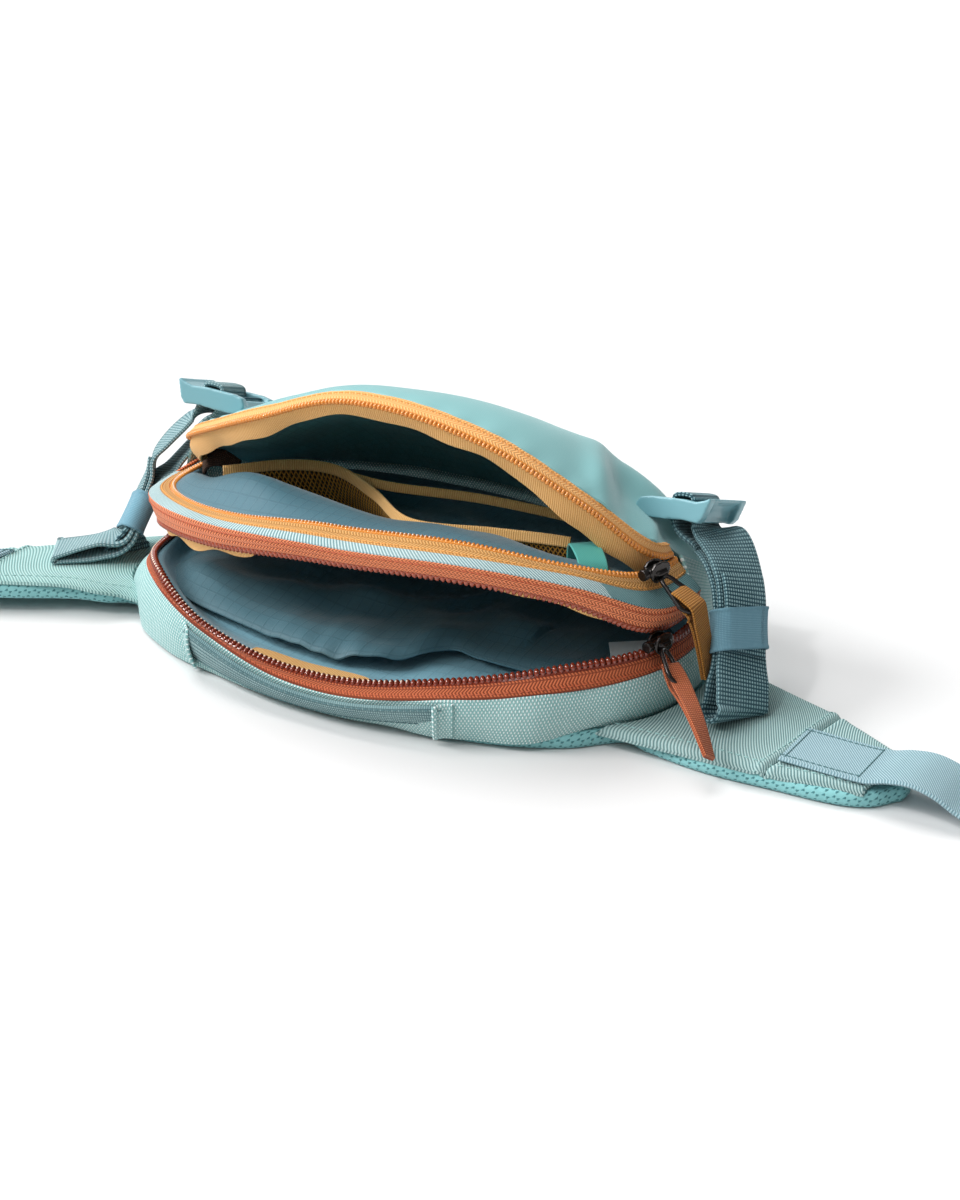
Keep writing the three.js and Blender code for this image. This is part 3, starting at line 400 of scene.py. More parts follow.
def cloth_mesh(grid, thick, bulge=0.4):
    """Closed cloth about a grid of middle points, with a rounded rim."""
    rows, cols = grid.shape[:2]
    half = grid_normals(grid) * thick / 2
    uv = arc_map(grid)
    ring = ([(i, 0) for i in range(rows - 1)] + [(rows - 1, j) for j in range(cols - 1)]
            + [(i, cols - 1) for i in range(rows - 1, 0, -1)] + [(0, j) for j in range(cols - 1, 0, -1)])
    ri, rj = np.array(ring).T
    inner = grid[np.clip(ri, 1, rows - 2), np.clip(rj, 1, cols - 2)]
    rim = grid[ri, rj] + unit(grid[ri, rj] - inner) * bulge * thick
    points = np.vstack([(grid + half).reshape(-1, 3), (grid - half).reshape(-1, 3), rim])
    flat = uv.reshape(-1, 2)
    maps = np.vstack([flat, flat, uv[ri, rj]])
    n = rows * cols
    i, j = np.meshgrid(np.arange(rows - 1), np.arange(cols - 1), indexing="ij")
    a = (i * cols + j).ravel()
    top = np.stack([a, a + cols, a + cols + 1, a + 1], 1)
    p = ri * cols + rj
    q = np.roll(p, -1)
    rp = 2 * n + np.arange(len(p))
    rq = np.roll(rp, -1)
    sides = [np.stack([q, p, rp, rq], 1), np.stack([rq, rp, p + n, q + n], 1)]
    faces = np.vstack([top, top[:, ::-1] + n] + sides)
    return points, faces.tolist(), maps


def cloth(name, grid, thick, look, slot, *nodes, held=None, rests_on=()):
    """Cloth piece that stands for CAD nodes. held is not used."""
    points, faces, maps = cloth_mesh(grid, thick)
    piece = place(mesh_object(name, points, faces, look, maps), slot, *nodes)
    return piece


def tube_faces(rows, sides, closed=False):
    """Faces round a tube of rings, with its two ends capped unless it closes on itself."""
    faces = []
    for i in range(rows if closed else rows - 1):
        nxt = (i + 1) % rows
        for k in range(sides):
            m = (k + 1) % sides
            faces.append([i * sides + k, i * sides + m, nxt * sides + m, nxt * sides + k])
    if not closed:
        faces.append(list(range(sides))[::-1])
        faces.append(list(range((rows - 1) * sides, rows * sides)))
    return faces


def sweep(path, frames, section, closed=False):
    """Tube of a cross-section carried along a path. frames gives each point's two cross directions."""
    across, up = frames
    points = path[:, None] + section[None, :, :1] * across[:, None] + section[None, :, 1:] * up[:, None]
    maps = flat_map(run_along(path), run_along(section)).reshape(-1, 2)
    return points.reshape(-1, 3), tube_faces(*points.shape[:2], closed), maps


def side_frames(path, hint):
    """Cross directions of a path: nearest to hint, and square to both."""
    tangent = unit(np.gradient(path, axis=0))
    hint = np.broadcast_to(np.asarray(hint, float), tangent.shape)
    across = unit(hint - tangent * np.sum(hint * tangent, -1, keepdims=True))
    return across, np.cross(tangent, across)


def circle(radius, sides=10):
    angle = np.linspace(0, 2 * math.pi, sides, endpoint=False)
    return np.stack([radius * np.cos(angle), radius * np.sin(angle)], -1)


def flat_section(width, thick, round_by, count):
    """Webbing's cross-section: flat, with rounded selvedges."""
    r = thick * round_by
    arc = np.linspace(-math.pi / 2, math.pi / 2, 6)
    right = [(width / 2 - r + r * math.cos(t), thick / 2 * math.sin(t)) for t in arc]
    top = [(x, thick / 2) for x in np.linspace(width / 2 - r, -width / 2 + r, count)[1:-1]]
    left = [(-x, -y) for x, y in right]
    low = [(-x, -y) for x, y in top]
    return np.array(right + top + left + low)


def join(parts):
    """Several (points, faces, maps) as one."""
    points, faces, maps, start = [], [], [], 0
    for p, f, m in parts:
        points.append(p)
        maps.append(m)
        faces.extend([[v + start for v in face] for face in f])
        start += len(p)
    return np.vstack(points), faces, np.vstack(maps)


def ball(half, rings, sides):
    """Rounded bead with the given half sizes."""
    points = [(-half[0], 0, 0)]
    for i in range(1, rings):
        angle = math.pi * i / rings
        points += [(-half[0] * math.cos(angle), half[1] * math.sin(angle) * y, half[2] * math.sin(angle) * z)
                   for y, z in circle(1, sides)]
    points.append((half[0], 0, 0))
    last = len(points) - 1
    faces = [[0, 1 + (k + 1) % sides, 1 + k] for k in range(sides)]
    for i in range(rings - 2):
        base = 1 + i * sides
        for k in range(sides):
            m = (k + 1) % sides
            faces.append([base + k, base + m, base + sides + m, base + sides + k])
    faces += [[last, last - sides + k, last - sides + (k + 1) % sides] for k in range(sides)]
    return np.array(points), faces


def scatter(template, origins, x_axis, z_axis):
    """Copies of a small mesh at many places, its x along x_axis and its z along z_axis."""
    points, faces = template
    x = unit(x_axis)
    y = unit(np.cross(z_axis, x))
    z = np.cross(x, y)
    axes = np.stack([x, y, z], 1)
    placed = origins[:, None] + np.einsum("pk,nkc->npc", points, axes)
    size = len(points)
    many = [[v + i * size for v in face] for i in range(len(origins)) for face in faces]
    maps = np.tile(points[:, :2], (len(origins), 1))
    return placed.reshape(-1, 3), many, maps


def stitch_row(line, up, pitch=STITCH["pitch"]):
    """Run of stitches along a line, lying on the cloth whose outward direction is up."""
    spots, run = resample(line, pitch)
    ups = between(run, run_along(line), np.broadcast_to(up, line.shape))
    bead = ball((STITCH["length"] / 2, STITCH["radius"], STITCH["radius"]), *STITCH["mesh"])
    return scatter(bead, spots, np.gradient(spots, axis=0), ups)


def seam_rows(grid, thick, columns, pitch=STITCH["pitch"], part=slice(None)):
    """Rows of stitches on a cloth's outer face, along some columns of its grid."""
    normal = grid_normals(grid)
    face = grid + normal * (thick / 2 + STITCH["stand"])
    return [stitch_row(face[part, j], normal[part, j], pitch) for j in columns]


def stitches(name, rows, look, slot):
    """Rows of stitches as one piece."""
    place(mesh_object(name, *join(rows)[:2], look), slot)


# Materials

def srgb(red, green, blue):
    """Linear colour of an sRGB one given in 0 to 255."""
    parts = [v / 255 for v in (red, green, blue)]
    return tuple(v / 12.92 if v <= 0.04045 else ((v + 0.055) / 1.055) ** 2.4 for v in parts) + (1.0,)


class Look:
    """Node material. Patterns are worked out in millimetres of the cloth map."""

    def __init__(self, name, roughness=0.85, metallic=0.0, sheen=0.0, coat=0.0, specular=0.35):
        self.material = bpy.data.materials.new(name)
        self.material.use_nodes = True
        self.tree = self.material.node_tree
        self.shader = self.tree.nodes["Principled BSDF"]
        settings = {"Roughness": roughness, "Metallic": metallic, "Sheen Weight": sheen,
                    "Sheen Roughness": 0.4, "Coat Weight": coat, "Specular IOR Level": specular}
        for socket, value in settings.items():
            self.shader.inputs[socket].default_value = value
        split = self.tree.nodes.new("ShaderNodeSeparateXYZ")
        source = self.tree.nodes.new("ShaderNodeUVMap")
        source.uv_map = "cloth"
        self.tree.links.new(source.outputs["UV"], split.inputs[0])
        self.u, self.v = split.outputs["X"], split.outputs["Y"]
        self.where = self.tree.nodes.new("ShaderNodeTexCoord").outputs["Object"]

    def put(self, socket, value):
        """Links a socket or sets its value. A tuple is an sRGB colour."""
        if isinstance(value, bpy.types.NodeSocket):
            self.tree.links.new(value, socket)
        elif isinstance(value, tuple):
            socket.default_value = srgb(*value)
        else:
            socket.default_value = value

    def math(self, operation, a, b=0.0, c=0.0):
        node = self.tree.nodes.new("ShaderNodeMath")
        node.operation = operation
        for socket, value in zip(node.inputs, (a, b, c)):
            self.put(socket, value)
        return node.outputs[0]

    def add(self, a, b):
        return self.math("ADD", a, b)

    def times(self, a, b):
        return self.math("MULTIPLY", a, b)

    def slant(self, along, across):
        """Distance in a direction that is along parts of u and across parts of v."""
        return self.add(self.times(self.u, along), self.times(self.v, across))

    def wave(self, distance, pitch):
        """Ridges of the given pitch, from 0 to 1."""
        sine = self.math("SINE", self.times(distance, 2 * math.pi / pitch))
        return self.math("MULTIPLY_ADD", sine, 0.5, 0.5)

    def crossed(self, lean, pitch):
        """Two sets of ridges that lean to either side."""
        return [self.wave(self.slant(way, lean), pitch) for way in (1.0, -1.0)]

    def ramp(self, value, low, high):
        node = self.tree.nodes.new("ShaderNodeMapRange")
        node.interpolation_type = "SMOOTHSTEP"
        for socket, item in zip(node.inputs, (value, low, high)):
            self.put(socket, item)
        return node.outputs[0]

    def noise(self, per_metre, detail=3.0):
        node = self.tree.nodes.new("ShaderNodeTexNoise")
        node.inputs["Scale"].default_value = per_metre
        node.inputs["Detail"].default_value = detail
        self.put(node.inputs["Vector"], self.where)
        return node.outputs["Fac"]

    def mix(self, factor, a, b):
        node = self.tree.nodes.new("ShaderNodeMix")
        node.data_type = "RGBA"
        self.put(node.inputs["Factor"], factor)
        self.put(node.inputs[6], a)
        self.put(node.inputs[7], b)
        return node.outputs[2]

    def speckled(self, colour, other, per_metre, amount):
        """Colour with some of another one, where noise of that fineness is high."""
        return self.mix(self.times(self.noise(per_metre), amount), colour, other)

    def finish(self, colour, height=None, depth=0.0):
        """Sets the colour and a bump of the given depth in millimetres."""
        self.put(self.shader.inputs["Base Color"], colour)
        if height is not None:
            bump = self.tree.nodes.new("ShaderNodeBump")
            bump.inputs["Strength"].default_value = 1.0
            bump.inputs["Distance"].default_value = depth * MM
            self.put(bump.inputs["Height"], height)
            self.put(self.shader.inputs["Normal"], bump.outputs["Normal"])
        return self.material

    def worn(self, colour, lighter, amount):
        """Colour with soft uneven patches of a lighter one."""
        patches = self.ramp(self.noise(per_metre=28.0), low=0.35, high=0.75)
        return self.mix(self.times(patches, amount), colour, lighter)


def twill_look(name, dark, light, lean, pitch):
    look = Look(name, roughness=0.9, sheen=0.15)
    rib = look.wave(look.slant(1.0, lean), pitch)
    thread = look.wave(look.slant(-lean, 1.0), pitch=0.62)
    height = look.math("MULTIPLY_ADD", thread, 0.3, rib)
    tone = look.mix(look.ramp(rib, low=0.2, high=0.8), dark, light)
    tone = look.speckled(tone, dark, per_metre=900.0, amount=0.25)
    return look.finish(look.worn(tone, light, amount=0.2), height, depth=0.16)


def dotted_look(name, dark, light, pitch):
    """Plain weave whose crossings catch the light as rows of flecks."""
    look = Look(name, roughness=0.88, sheen=0.1)
    fleck = look.times(*look.crossed(lean=0.6, pitch=pitch))
    tone = look.mix(look.ramp(fleck, low=0.25, high=0.7), dark, light)
    tone = look.speckled(tone, dark, per_metre=700.0, amount=0.3)
    return look.finish(look.worn(tone, light, amount=0.15), fleck, depth=0.22)


def fine_look(name, colour, shade, sheen, roughness, pitch=0.55, grid=0.0):
    """Smooth fine cloth. grid is the spacing of heavier threads, 0 for none."""
    look = Look(name, roughness, sheen=sheen)
    weave = look.times(*look.crossed(lean=1.0, pitch=pitch))
    tone = look.mix(look.times(look.ramp(weave, low=0.1, high=0.6), 0.45), colour, shade)
    height = weave
    if grid:
        heavy = look.math("MAXIMUM", *(look.ramp(look.wave(distance, grid), low=0.93, high=1.0)
                                       for distance in (look.u, look.v)))
        tone = look.mix(look.times(heavy, 0.35), tone, shade)
        height = look.add(weave, heavy)
    return look.finish(look.speckled(tone, shade, per_metre=22.0, amount=0.35), height, depth=0.06)


def webbing_look(name, dark, light, across=1.0, along=1.3, depth=0.3):
    """Coarse webbing: rows of threads with dark pits between them."""
    look = Look(name, roughness=0.92, sheen=0.1)
    lump = look.times(look.wave(look.v, across), look.wave(look.u, along))
    tone = look.mix(look.ramp(lump, low=0.08, high=0.55), dark, light)
    tone = look.speckled(tone, dark, per_metre=650.0, amount=0.35)
    return look.finish(look.worn(tone, light, amount=0.2), lump, depth)


def knit_look(name, dark, light, band, pitch):
    """Zip tape: slanted stitches that turn back in narrow bands."""
    look = Look(name, roughness=0.9, sheen=0.15)
    fold = look.math("PINGPONG", look.v, band)
    rib = look.wave(look.add(look.u, fold), pitch)
    groove = look.ramp(fold, low=0.0, high=0.25)
    height = look.times(rib, groove)
    tone = look.mix(look.ramp(height, low=0.1, high=0.75), dark, light)
    return look.finish(look.worn(tone, light, amount=0.2), height, depth=0.18)


def foam_look():
    """Foam mesh: staggered rows of slanted oval pits, painted darker as the shade inside them."""
    look = Look("mesh_pad", roughness=0.85, sheen=0.2)
    half_wide, half_high, lean = 1.9, 1.3, 0.4
    row = look.math("FLOOR", look.times(look.v, 1 / (2 * half_high)))
    shift = look.times(look.math("MODULO", row, 2.0), half_wide)
    cell_u = look.math("PINGPONG", look.add(look.add(look.u, shift), look.times(look.v, lean)), half_wide)
    cell_v = look.math("PINGPONG", look.v, half_high)
    squares = (look.math("POWER", look.times(cell, oval), 2.0)
               for cell, oval in ((cell_u, 1.2), (cell_v, 0.75)))
    solid = look.ramp(look.math("SQRT", look.add(*squares)), low=0.42, high=0.85)
    fuzz = look.noise(per_metre=1500.0)
    # Darker pits: painted shade
    tone = look.mix(solid, (66, 128, 134), (140, 200, 202))
    tone = look.mix(look.times(fuzz, 0.3), tone, (112, 180, 184))
    return look.finish(tone, look.math("MULTIPLY_ADD", fuzz, 0.25, solid), depth=0.45)


def net_look():
    """Net: two sets of crossed cords; the holes between them are painted dark, as the shade seen through
    them.
    """
    look = Look("mustard_mesh", roughness=0.8)
    cord = look.math("MAXIMUM", *look.crossed(lean=0.58, pitch=1.9))
    # Dark holes: painted shade
    tone = look.mix(look.ramp(cord, low=0.62, high=0.9), (58, 36, 14), (196, 138, 52))
    return look.finish(tone, cord, depth=0.5)


def moulded_look(name, colour, shade, roughness, metallic=0.0, coat=0.0, grain=0.03):
    """Plastic, metal or thread, with a fine grain."""
    look = Look(name, roughness, metallic, coat=coat, specular=0.5)
    tone = look.speckled(colour, shade, per_metre=60.0, amount=0.5)
    return look.finish(tone, look.noise(per_metre=2500.0, detail=2.0), grain)


def floor_look():
    look = Look("floor", roughness=0.7, specular=0.2)
    return look.finish(look.speckled((222, 222, 222), (220, 220, 221), per_metre=3.0, amount=0.1))


# Colours are sRGB, the dark one first in a pattern and the shade second in a plain cloth. Then come, for
# twill, its lean and pitch, for the dotted weave its pitch, for fine cloth sheen, roughness and pitch, for
# zip tape its bands and pitch, for webbing its pitch across and along, and for a moulded part its roughness
LOOKS = {
    "floor": floor_look(),
    "foam": foam_look(),
    # The wings' twill is one cloth: the left copy is painted lighter and the right darker, as light and shade
    "twill_right": twill_look("twill_right", (86, 122, 124), (178, 206, 204), 0.7, 1.2),
    "twill_left": twill_look("twill_left", (106, 150, 149), (184, 220, 216), 0.44, 1.25),
    "twill_strip": twill_look("twill_strip", (106, 142, 147), (202, 221, 222), 0.45, 1.35),
    # The strip's right end: the same twill painted darker, painted shade
    "strip_end_shaded": twill_look("strip_end_shaded", (62, 108, 114), (124, 168, 170), 0.45, 1.1),
    "wall": dotted_look("wall_weave", (126, 176, 175), (246, 255, 253), 1.35),
    "front": fine_look("front_weave", (140, 192, 193), (108, 168, 171), 0.25, 0.5, 0.9),
    # A zip's two tapes are one cloth: the lower tape's look (_low) is a darker copy, painted shade
    "rust": knit_look("rust_tape", (150, 70, 42), (252, 152, 104), 1.7, 1.5),
    "rust_low": knit_look("rust_tape_low", (120, 52, 30), (204, 110, 70), 1.5, 1.3),
    "rust_coil": moulded_look("rust_coil", (140, 54, 30), (104, 36, 18), 0.15, coat=0.8, grain=0.0),
    # The rust zip's upper teeth: a lighter copy of its coil, painted light
    "rust_coil_high": moulded_look("rust_coil_high", (172, 76, 42), (134, 54, 28), 0.2, coat=0.6, grain=0.0),
    "mustard": knit_look("mustard_tape", (228, 154, 82), (242, 188, 122), 1.5, 1.3),
    "mustard_low": knit_look("mustard_tape_low", (166, 114, 52), (220, 168, 104), 1.5, 1.3),
    "mustard_coil": moulded_look("mustard_coil", (230, 150, 66), (206, 124, 46), 0.2, coat=0.5, grain=0.0),
    "facing": twill_look("mustard_cloth", (222, 164, 92), (246, 200, 136), 0.02, 0.9),
    "net": net_look(),
    # Floor, sleeve and divider are one lining cloth: the floor's copy is painted lighter, the sleeve's and
    # divider's darker, as the deep interior's shade
    "lining": fine_look("lining", (138, 188, 204), (106, 158, 176), 0.3, 0.42, grid=5.0),
    "sleeve": fine_look("sleeve_lining_shaded", (88, 126, 138), (56, 94, 106), 0.3, 0.42, grid=5.0),
    "divider": fine_look("divider_lining_shaded", (86, 128, 143), (60, 100, 116), 0.3, 0.42, grid=5.0),
    "ripstop": fine_look("ripstop_lining", (110, 186, 188), (70, 140, 146), 0.2, 0.5, grid=4.0),
    "webbing": webbing_look("strap_webbing", (38, 74, 84), (160, 198, 204), 1.2, 1.5),
    # The left strap's webbing: a lighter copy of the strap webbing, painted light
    "webbing_left_lit": webbing_look("strap_webbing_left_lit", (84, 120, 127), (190, 218, 220)),
    "handle": webbing_look("handle_webbing", (70, 106, 112), (182, 212, 212), 1.5, 0.9),
    "brown": webbing_look("brown_tape", (34, 22, 14), (92, 58, 32), 0.8, 0.9),
    "belt": twill_look("belt_webbing", (106, 140, 150), (170, 198, 206), 0.9, 1.15),
    "elastic": webbing_look("elastic", (98, 144, 162), (140, 182, 198), 0.6, 0.45, 0.12),
    "plastic": moulded_look("plastic", (126, 178, 188), (110, 162, 173), 0.38, coat=0.2),
    "gunmetal": moulded_look("gunmetal", (66, 63, 62), (42, 40, 40), 0.26, 0.9, grain=0.01),
    "rust_tab": webbing_look("rust_webbing", (136, 62, 34), (232, 140, 94), 0.8, 0.9, 0.25),
    "mustard_tab": webbing_look("mustard_webbing", (120, 74, 20), (214, 150, 66), 0.8, 0.9, 0.25),
    "ribbon": fine_look("ribbon", (92, 182, 172), (60, 150, 142), 0.2, 0.7, 0.9),
    "label": fine_look("label", (228, 230, 228), (208, 212, 212), 0.1, 0.8, 0.5),
    "thread": moulded_look("thread", (150, 190, 188), (122, 166, 166), 0.7),
    "dark_thread": moulded_look("dark_thread", (86, 124, 128), (66, 102, 108), 0.75),
    "warm_thread": moulded_look("warm_thread", (236, 170, 92), (206, 140, 66), 0.7),
    # Near-white beads on the lower lips' teeth: partly thread, partly painted highlights
    "coil_thread": moulded_look("coil_thread", (250, 226, 206), (236, 206, 184), 0.4),
    "rust_thread": moulded_look("rust_thread", (196, 98, 62), (166, 76, 44), 0.7),
}


# Back pad, wings and belt

# Pad: rounding of its rim and of the wings' ends, sections and lines across
PAD_RIM = {"edge": 2.7, "tip": 2.4, "sections": 110, "lines": 26, "arc": 9, "closing": (0.25, 1.5, 6)}
# Inner end of a wing cover, along the wall: its near and far y, and its clearance from the wall
COVER_ROOT = {"near": -61, "far": 14, "clear": 3}
# Twill panels: lines along and across, lines of the border, about how wide, swell, calm border, gap past the
# seam, and the grid's lines that are sewn
TWILL = {"along": 64, "across": 44, "border": [0, 0.006, 0.013, 0.022], "inner": 0.034, "span": 52.0,
         "swell": 0.6, "calm": 6, "past_seam": 1.0, "sewn": 6, "sewn_end": 60}
# Ridge beside the wing's cross seam, lower on the tip than on the cover, and the seam's own groove
SEAM_RIDGE = {"high": (0.3, 0.9), "at": 1.8, "wide": 1.6, "groove": 0.7, "groove_wide": 0.8}
# Belt: lines along and across, the x where its sewn part ends, and its stitches' pitch along and across
BELT_SEWN = {"along": 110, "across": 15, "end": 202, "pitch": 2.4, "end_pitch": 2.0}


def pad_edge(x, column):
    return through(PAD_OUTLINE["x"], PAD_OUTLINE[column], np.clip(x, 0, PAD_OUTLINE["x"][-1]))


def wing_point(side, x, y, z):
    """Point of a wing: the left one swings towards the zip side with its near edge raised."""
    x, y, z = (np.asarray(v, float) for v in np.broadcast_arrays(x, y, z))
    if side > 0:
        return np.stack([x, y, z], -1)
    at = np.clip(x, LEFT_WING["x"][0], LEFT_WING["x"][-1])
    far = pad_edge(x, "far")
    share = np.clip((far - y) / (far - pad_edge(x, "near")), 0, 1)
    swing = through(LEFT_WING["x"], LEFT_WING["swing"], at)
    return np.stack([-x, y - swing, z + through(LEFT_WING["x"], LEFT_WING["lift"], at) * share], -1)


def back_pad():
    """Foam pad with a rounded edge, its body and wings in one piece."""
    reach, edge, count = PAD_OUTLINE["x"][-1], PAD_RIM["edge"], PAD_RIM["sections"]
    closing = np.linspace(*PAD_RIM["closing"])
    half = np.concatenate([np.linspace(0, reach, count), reach + PAD_RIM["tip"] * np.sin(closing)])
    shrink = np.concatenate([np.ones(count), np.cos(closing)])
    arc = np.linspace(-math.pi / 2, math.pi / 2, PAD_RIM["arc"])
    flat = np.linspace(0, 1, PAD_RIM["lines"])
    loop = [(0, k, 0) for k in flat[:-1]]
    loop += [(edge * math.cos(t), 1, 0.5 + 0.5 * math.sin(t)) for t in arc[:-1]]
    loop += [(0, k, 1) for k in flat[:0:-1]]
    loop += [(-edge * math.cos(t), 0, 0.5 + 0.5 * math.sin(t)) for t in arc[:0:-1]]
    offset, share, height = np.array(loop).T
    rows = []
    for side, order in ((-1, slice(None, 0, -1)), (1, slice(None))):
        for x, scale in zip(half[order], shrink[order]):
            near, far = pad_edge(x, "near") + edge, pad_edge(x, "far") - edge
            middle = (near + far) / 2
            wobble = uneven("pad", x * side, share) * (np.abs(offset) > 0)
            y = middle + (near + (far - near) * share - middle + offset + wobble) * scale
            z = PAD / 2 + (height - 0.5) * PAD * scale
            rows.append(wing_point(side, np.full_like(y, x), y, z))
    points = np.array(rows)
    faces = [face[::-1] for face in tube_faces(*points.shape[:2])]
    maps = flat_map(run_along(points[:, 0]), run_along(points[len(points) // 2])).reshape(-1, 2)
    pad = mesh_object("back_pad_foam", points.reshape(-1, 3), faces, "foam", maps)
    place(pad, "mesh_pad", "back_pad")


def cross_line(row, k, inset):
    """Line across a wing, from its near edge to its far one."""
    x = row["near"] + (row["far"] - row["near"]) * k
    near, far = pad_edge(x, "near") + inset, pad_edge(x, "far") - inset
    return x, near + (far - near) * k


def wall_line(k):
    """Line of a wing cover's inner end, along the wall."""
    y = COVER_ROOT["near"] + (COVER_ROOT["far"] - COVER_ROOT["near"]) * k
    rest = 1 - np.abs((y - PLAN_Y) / (FAR_DEPTH + COVER_ROOT["clear"])) ** PLAN_POWER
    return (FAR_HALF_WIDTH + COVER_ROOT["clear"]) * rest ** (1 / PLAN_POWER), y


def wing_panel(side, inner, outer, swell, seam_end):
    """Twill panel on the wing. seam_end is 1 where the outer end is the seam, 0 where the inner one is."""
    border = np.array(TWILL["border"])
    middle = np.linspace(TWILL["inner"], 1 - TWILL["inner"], TWILL["across"])
    u, k = np.meshgrid(np.linspace(0, 1, TWILL["along"]),
                       np.concatenate([border, middle, 1 - border[::-1]]), indexing="ij")
    (x0, y0), (x1, y1) = inner(k), outer(k)
    x, y = x0 + (x1 - x0) * u, y0 + (y1 - y0) * u
    rim = np.minimum(k, 1 - k) * TWILL["span"]
    rise = swell * 16 * u * (1 - u) * k * (1 - k) - COVER_CURL[side] * np.exp(-rim ** 2)
    to_seam = np.abs(u - seam_end) * np.abs(x1 - x0)
    rise = rise + SEAM_RIDGE["high"][seam_end] * bump_at(to_seam, SEAM_RIDGE["at"], SEAM_RIDGE["wide"])
    rise = rise - SEAM_RIDGE["groove"] * bump_at(to_seam, 0, SEAM_RIDGE["groove_wide"])
    rise = rise + uneven("wing", x, y, seam_end) * np.minimum(1, rim / TWILL["calm"])
    return wing_point(side, x, y, PAD + GAP + COVER / 2 + rise)


def wings():
    past = {end: x + TWILL["past_seam"] for end, x in WING_SEAM.items()}
    sewn = TWILL["sewn"]
    lift = np.array([0, 0, COVER / 2 + STITCH["stand"]])
    for side, hand in SIDES:
        inset = COVER_INSET[side]
        ends = [lambda k, row=row: cross_line(row, k, inset) for row in (WING_SEAM, past, WING_TIP)]
        cover = wing_panel(side, wall_line, ends[0], TWILL["swell"], 1)
        tip = wing_panel(side, ends[1], ends[2], 0, 0)
        for name, node, grid in (("wing_twill_", "wing_cover_", cover),
                                 ("wing_tip_twill_", "wing_tip_", tip)):
            # Each wing takes its own copy of the twill, the left one lighter: painted light and shade
            cloth(name + hand, grid[:, ::side], COVER, "twill_" + hand, "twill", node + hand,
                  held="stretched", rests_on=["back_pad_foam"])
        lines = (cover[:, sewn], tip[:, sewn], cover[TWILL["sewn_end"]])
        rows = [stitch_row(line + lift, UP) for line in lines]
        stitches("wing_stitches_" + hand, rows, "thread", "twill")


def belt(side, hand):
    xs = np.linspace(BELT_ROUTE["x"][0], BELT_ROUTE["x"][-1], BELT_SEWN["along"])
    z = through(BELT_ROUTE["x"], BELT_ROUTE["z"], xs)
    half = np.linspace(-BELT_WIDTH / 2, BELT_WIDTH / 2, BELT_SEWN["across"]) * side
    grid = wing_point(side, xs[:, None], BELT_Y[side] + half[None], z[:, None])
    cloth("belt_web_" + hand, grid, WEBBING, "belt", "belt_webbing", "belt_" + hand)
    top = grid + grid_normals(grid) * (WEBBING / 2 + STITCH["stand"])
    sewn = int(np.searchsorted(xs, BELT_SEWN["end"]))
    rows = [stitch_row(top[:sewn, j], UP, BELT_SEWN["pitch"]) for j in (1, -2)]
    rows += [stitch_row(top[i, 1:-1], UP, BELT_SEWN["end_pitch"]) for i in (sewn, 2)]
    stitches("belt_stitches_" + hand, rows, "dark_thread", "belt_webbing")


# Walls and zips

# Lower wall: lines across, swell, how its foot goes past the pad's edge and fades upward, sewn ends
WALL_SHAPE = {"lines": 18, "swell": 2.2, "past": 1.1, "foot": 1.2, "rate": 1.7, "fade": 1.4, "sewn": 50}
# Gusset: overlap at its ends in degrees, clearance round the panel, swell, how far it stays below the panel's
# seam, and the bulge's growth upward
GUSSET = {"overlap": 0.4, "clear": 0.6, "swell": 0.12, "below": 0.7, "growth": 1.2}
# Zip tape: lines along and across, swell, and its stitches' pitch
TAPE_SHAPE = {"along": 320, "across": 9, "swell": 0.4, "pitch": 2.6}
# The two zips: the edge that ends the upper tape, its teeth's look and its thread
# The rust zip's upper teeth take a lighter copy of its coil, painted light
ZIPS = {"rust": ("rust_top", "rust_coil_high", "rust_thread"),
        "mustard": ("panel_rim", "mustard_coil", "warm_thread")}


def strip_grid(low, high, swell, rows=TAPE_SHAPE["along"], cols=TAPE_SHAPE["across"],
               inset_low=0.0, inset_high=0.0, start=-ZIP_END, end=ZIP_END):
    """Strip between two edges of the zip side, swelling outward."""
    heading = np.linspace(start, end, rows)
    a, b = edge_line(low, heading), edge_line(high, heading)
    length = np.linalg.norm(b - a, axis=1)
    first, last = inset_low / length, 1 - inset_high / length
    k = first[:, None] + (last - first)[:, None] * np.linspace(0, 1, cols)[None]
    grid = a[:, None] + (b - a)[:, None] * k[..., None]
    swelling = np.broadcast_to(swell, heading.shape)[:, None] * 4 * k * (1 - k)
    return grid + outward(heading)[:, None] * swelling[..., None]


def lower_wall():
    grid = strip_grid(EDGES["foot"], EDGES["wall_top"], WALL_SHAPE["swell"], cols=WALL_SHAPE["lines"])
    heading = np.linspace(-ZIP_END, ZIP_END, len(grid))
    share = np.clip(through(FOOT_COVER["heading"], FOOT_COVER["share"], heading), 0, 1)
    foot_x, foot_y = grid[:, 0, 0], grid[:, 0, 1]
    over = np.zeros_like(grid[:, 0])
    past_pad = np.minimum(foot_y, pad_edge(np.abs(foot_x), "near") - WALL_SHAPE["past"]) - foot_y
    over[:, 1] = past_pad * np.minimum(1, share * WALL_SHAPE["rate"])
    over[:, 2] = (WALL_SHAPE["foot"] - FOOT_Z) * share
    fade = np.linspace(1, 0, WALL_SHAPE["lines"]) ** WALL_SHAPE["fade"]
    grid = rumpled("wall", grid + over[:, None] * fade[None, :, None])
    cloth("lower_wall_weave", grid, WALL, "wall", "wall_weave", "lower_wall", held="stretched",
          rests_on=["back_pad_foam"])
    ends = (slice(WALL_SHAPE["sewn"]), slice(-WALL_SHAPE["sewn"], None))
    rows = [row for part in ends for row in seam_rows(grid, WALL, [2], part=part)]
    stitches("wall_stitches", rows, "thread", "wall_weave")
    handle_hems(grid, heading)


